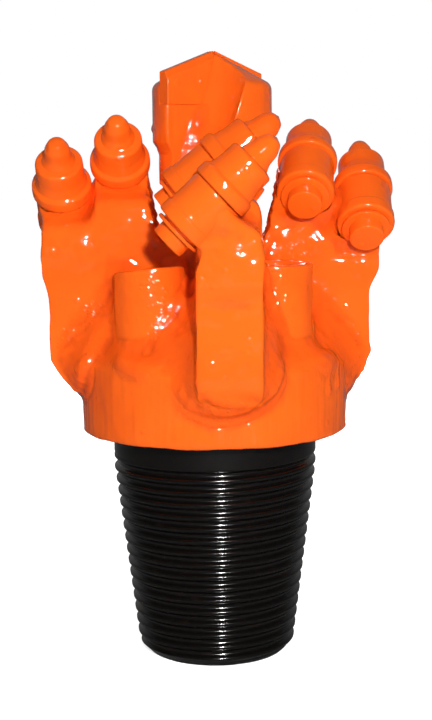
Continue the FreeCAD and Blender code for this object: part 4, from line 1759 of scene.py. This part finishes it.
@dataclass(frozen=True)
class Viewpoint:
    """Where the photograph was taken from, fitted to the pin and the collar."""

    distance: float = 0.6094
    height: float = 0.209
    focal_pixels: float = 1468.16
    down_degrees: float = 8.04
    roll_degrees: float = -0.52
    yaw_degrees: float = -0.07
    sensor: float = 36.0

    def build(self) -> bpy.types.Object:
        """Set up the camera.

        Returns:
            The camera.
        """
        data = bpy.data.cameras.new("photo_camera")
        data.sensor_fit = "AUTO"
        data.sensor_width = self.sensor
        data.lens = self.focal_pixels * self.sensor / PHOTO_HEIGHT
        data.clip_start = 0.05
        data.clip_end = 20.0
        camera = bpy.data.objects.new("photo_camera", data)
        bpy.context.scene.collection.objects.link(camera)
        turn = Matrix.Rotation(math.radians(self.yaw_degrees), 4, "Z")
        turn = turn @ Matrix.Rotation(math.radians(90.0 - self.down_degrees), 4, "X")
        turn = turn @ Matrix.Rotation(math.radians(self.roll_degrees), 4, "Z")
        place = Matrix.Translation(Vector((0.0, -self.distance, self.height)))
        camera.matrix_world = place @ turn
        bpy.context.scene.camera = camera
        return camera


@dataclass(frozen=True)
class Lamp:
    """One round lamp aimed at the head.

    Gloss shows only a lamp that is mirrored. A lamp that is not spread out lights gloss alone.
    """

    name: str
    place: tuple[float, float, float]
    size: float
    watts: float
    mirrored: bool = False
    spread_out: bool = True
    aim: tuple[float, float, float] = (0.0, 0.0, 0.13)

    def build(self) -> None:
        """Hang the lamp."""
        data = bpy.data.lights.new(self.name, "AREA")
        data.shape = "DISK"
        data.size = self.size
        data.energy = self.watts
        lamp = bpy.data.objects.new(self.name, data)
        bpy.context.scene.collection.objects.link(lamp)
        away = Vector(self.place) - Vector(self.aim)
        turn = away.to_track_quat("Z", "Y").to_matrix().to_4x4()
        lamp.matrix_world = Matrix.Translation(Vector(self.place)) @ turn
        lamp.visible_glossy = self.mirrored
        lamp.visible_diffuse = self.spread_out


@dataclass(frozen=True)
class Studio:
    """Pale floor and backdrop, white to the camera, and lamps.

    Gloss sees the floor and the backdrop much darker than the camera does, because full white there
    washes the paint out along the collar's sides.
    """

    room_light: float = 0.12
    room_glare: float = 0.05
    mirrored_share: float = 0.22
    floor_share: float = 0.05
    floor_top_up: float = 0.84
    floor_size: float = 12.0
    floor_colour: float = 0.8
    floor_in_gloss: float = 0.12
    top_up_from: float = 0.15
    top_up_to: float = 0.9
    backdrop_from: float = 0.35
    backdrop_to: float = 0.8
    lamps: tuple[Lamp, ...] = (
        Lamp("flash", (0.07, -0.65, 0.31), 0.035, 4.5, mirrored=True),
        Lamp("flash_gloss", (0.07, -0.65, 0.31), 0.035, 14.0, mirrored=True, spread_out=False),
        Lamp("top_left", (-0.5, -0.3, 1.0), 0.6, 1.0),
        Lamp("right", (0.9, -0.2, 0.5), 0.5, 0.5),
        Lamp("behind", (0.05, 0.95, 0.35), 0.6, 5.0),
    )

    def build(self) -> None:
        """Set the floor, the surroundings and the lamps."""
        self.floor()
        self.surroundings()
        for lamp in self.lamps:
            lamp.build()

    @staticmethod
    def by_ray(tree: bpy.types.NodeTree, seen: float, mirrored: float, other: float) -> bpy.types.NodeSocket:
        """Value that depends on which kind of ray arrives.

        Args:
            tree: the node tree that gets the nodes.
            seen: for what the camera sees.
            mirrored: for what gloss and glass show.
            other: for all other rays.

        Returns:
            The value.
        """
        rays = tree.nodes.new("ShaderNodeLightPath")
        total: bpy.types.NodeSocket | None = None
        for kind, value in (
            ("Is Camera Ray", seen - other),
            ("Is Glossy Ray", mirrored - other),
            ("Is Transmission Ray", mirrored - other),
        ):
            adder = tree.nodes.new("ShaderNodeMath")
            adder.operation = "MULTIPLY_ADD"
            adder.inputs[1].default_value = value
            adder.inputs[2].default_value = other
            tree.links.new(rays.outputs[kind], adder.inputs[0])
            if total is not None:
                tree.links.new(total, adder.inputs[2])
            total = adder.outputs[0]
        return total

    def floor(self) -> None:
        """Lay a wide pale floor that shows white and takes the shadow."""
        clear_selection()
        bpy.ops.mesh.primitive_plane_add(size=self.floor_size, location=(0, 0, 0))
        floor = bpy.context.active_object
        floor.name = "floor"
        material = bpy.data.materials.new("floor_paint")
        material.use_nodes = True
        tree = material.node_tree
        shader = tree.nodes["Principled BSDF"]
        colour = self.by_ray(tree, self.floor_colour, self.floor_in_gloss, self.floor_colour)
        tree.links.new(colour, shader.inputs["Base Color"])
        shader.inputs["Roughness"].default_value = 0.9
        shader.inputs["Specular IOR Level"].default_value = 0.0
        shader.inputs["Emission Color"].default_value = (1.0, 1.0, 1.0, 1.0)
        seen = self.by_ray(tree, 1.0, self.floor_share, 0.0)
        place = tree.nodes.new("ShaderNodeTexCoord").outputs["Object"]
        away = tree.nodes.new("ShaderNodeVectorMath")
        away.operation = "LENGTH"
        tree.links.new(place, away.inputs[0])
        top_up = tree.nodes.new("ShaderNodeMapRange")
        top_up.inputs["From Min"].default_value = self.top_up_from
        top_up.inputs["From Max"].default_value = self.top_up_to
        top_up.inputs["To Min"].default_value = self.floor_top_up
        tree.links.new(away.outputs["Value"], top_up.inputs["Value"])
        level = tree.nodes.new("ShaderNodeMath")
        level.operation = "MULTIPLY"
        tree.links.new(top_up.outputs[0], level.inputs[1])
        tree.links.new(seen, level.inputs[0])
        tree.links.new(level.outputs[0], shader.inputs["Emission Strength"])
        floor.data.materials.append(material)

    def surroundings(self) -> None:
        """Backdrop that the camera sees white, matt colour sees dim, and gloss sees dark to dim."""
        world = bpy.data.worlds.new("studio")
        bpy.context.scene.world = world
        world.use_nodes = True
        tree = world.node_tree
        back = tree.nodes["Background"]
        back.inputs["Color"].default_value = (1.0, 1.0, 1.0, 1.0)
        direction = tree.nodes.new("ShaderNodeTexCoord").outputs["Generated"]
        split = tree.nodes.new("ShaderNodeSeparateXYZ")
        tree.links.new(direction, split.inputs[0])
        backdrop = tree.nodes.new("ShaderNodeMapRange")
        backdrop.inputs["From Min"].default_value = self.backdrop_from
        backdrop.inputs["From Max"].default_value = self.backdrop_to
        backdrop.inputs["To Min"].default_value = self.room_glare
        backdrop.inputs["To Max"].default_value = self.mirrored_share
        tree.links.new(split.outputs["Y"], backdrop.inputs["Value"])
        rays = tree.nodes.new("ShaderNodeLightPath")
        level = backdrop.outputs[0]
        for kind, value in (("Is Diffuse Ray", self.room_light), ("Is Camera Ray", 1.0)):
            chosen = tree.nodes.new("ShaderNodeMix")
            tree.links.new(rays.outputs[kind], chosen.inputs[0])
            tree.links.new(level, chosen.inputs[2])
            chosen.inputs[3].default_value = value
            level = chosen.outputs[0]
        tree.links.new(level, back.inputs["Strength"])


def build_bit(shop: Paintshop) -> None:
    """Build and paint every piece of the bit.

    Args:
        shop: paints the pieces.
    """
    pin = ThreadedPin().build()
    smooth_shaded(pin, 40.0)
    shop.dress(pin, shop.finishes.coating, ["pin_and_collar"], ROOT_BODY)
    teeth = Teeth()
    teeth.build(shop)
    holders = Holders()
    holders.build(teeth, shop)
    PilotHead().build(shop)
    PaintedHead().build(shop, holders, teeth)


def main() -> None:
    """Build the bit, the studio and the camera."""
    logging.basicConfig(level=logging.INFO, format="%(name)s %(message)s")
    bpy.context.scene.view_settings.view_transform = "Standard"
    build_bit(Paintshop(Finishes()))
    Studio().build()
    Viewpoint().build()


if __name__ == "__main__":
    main()
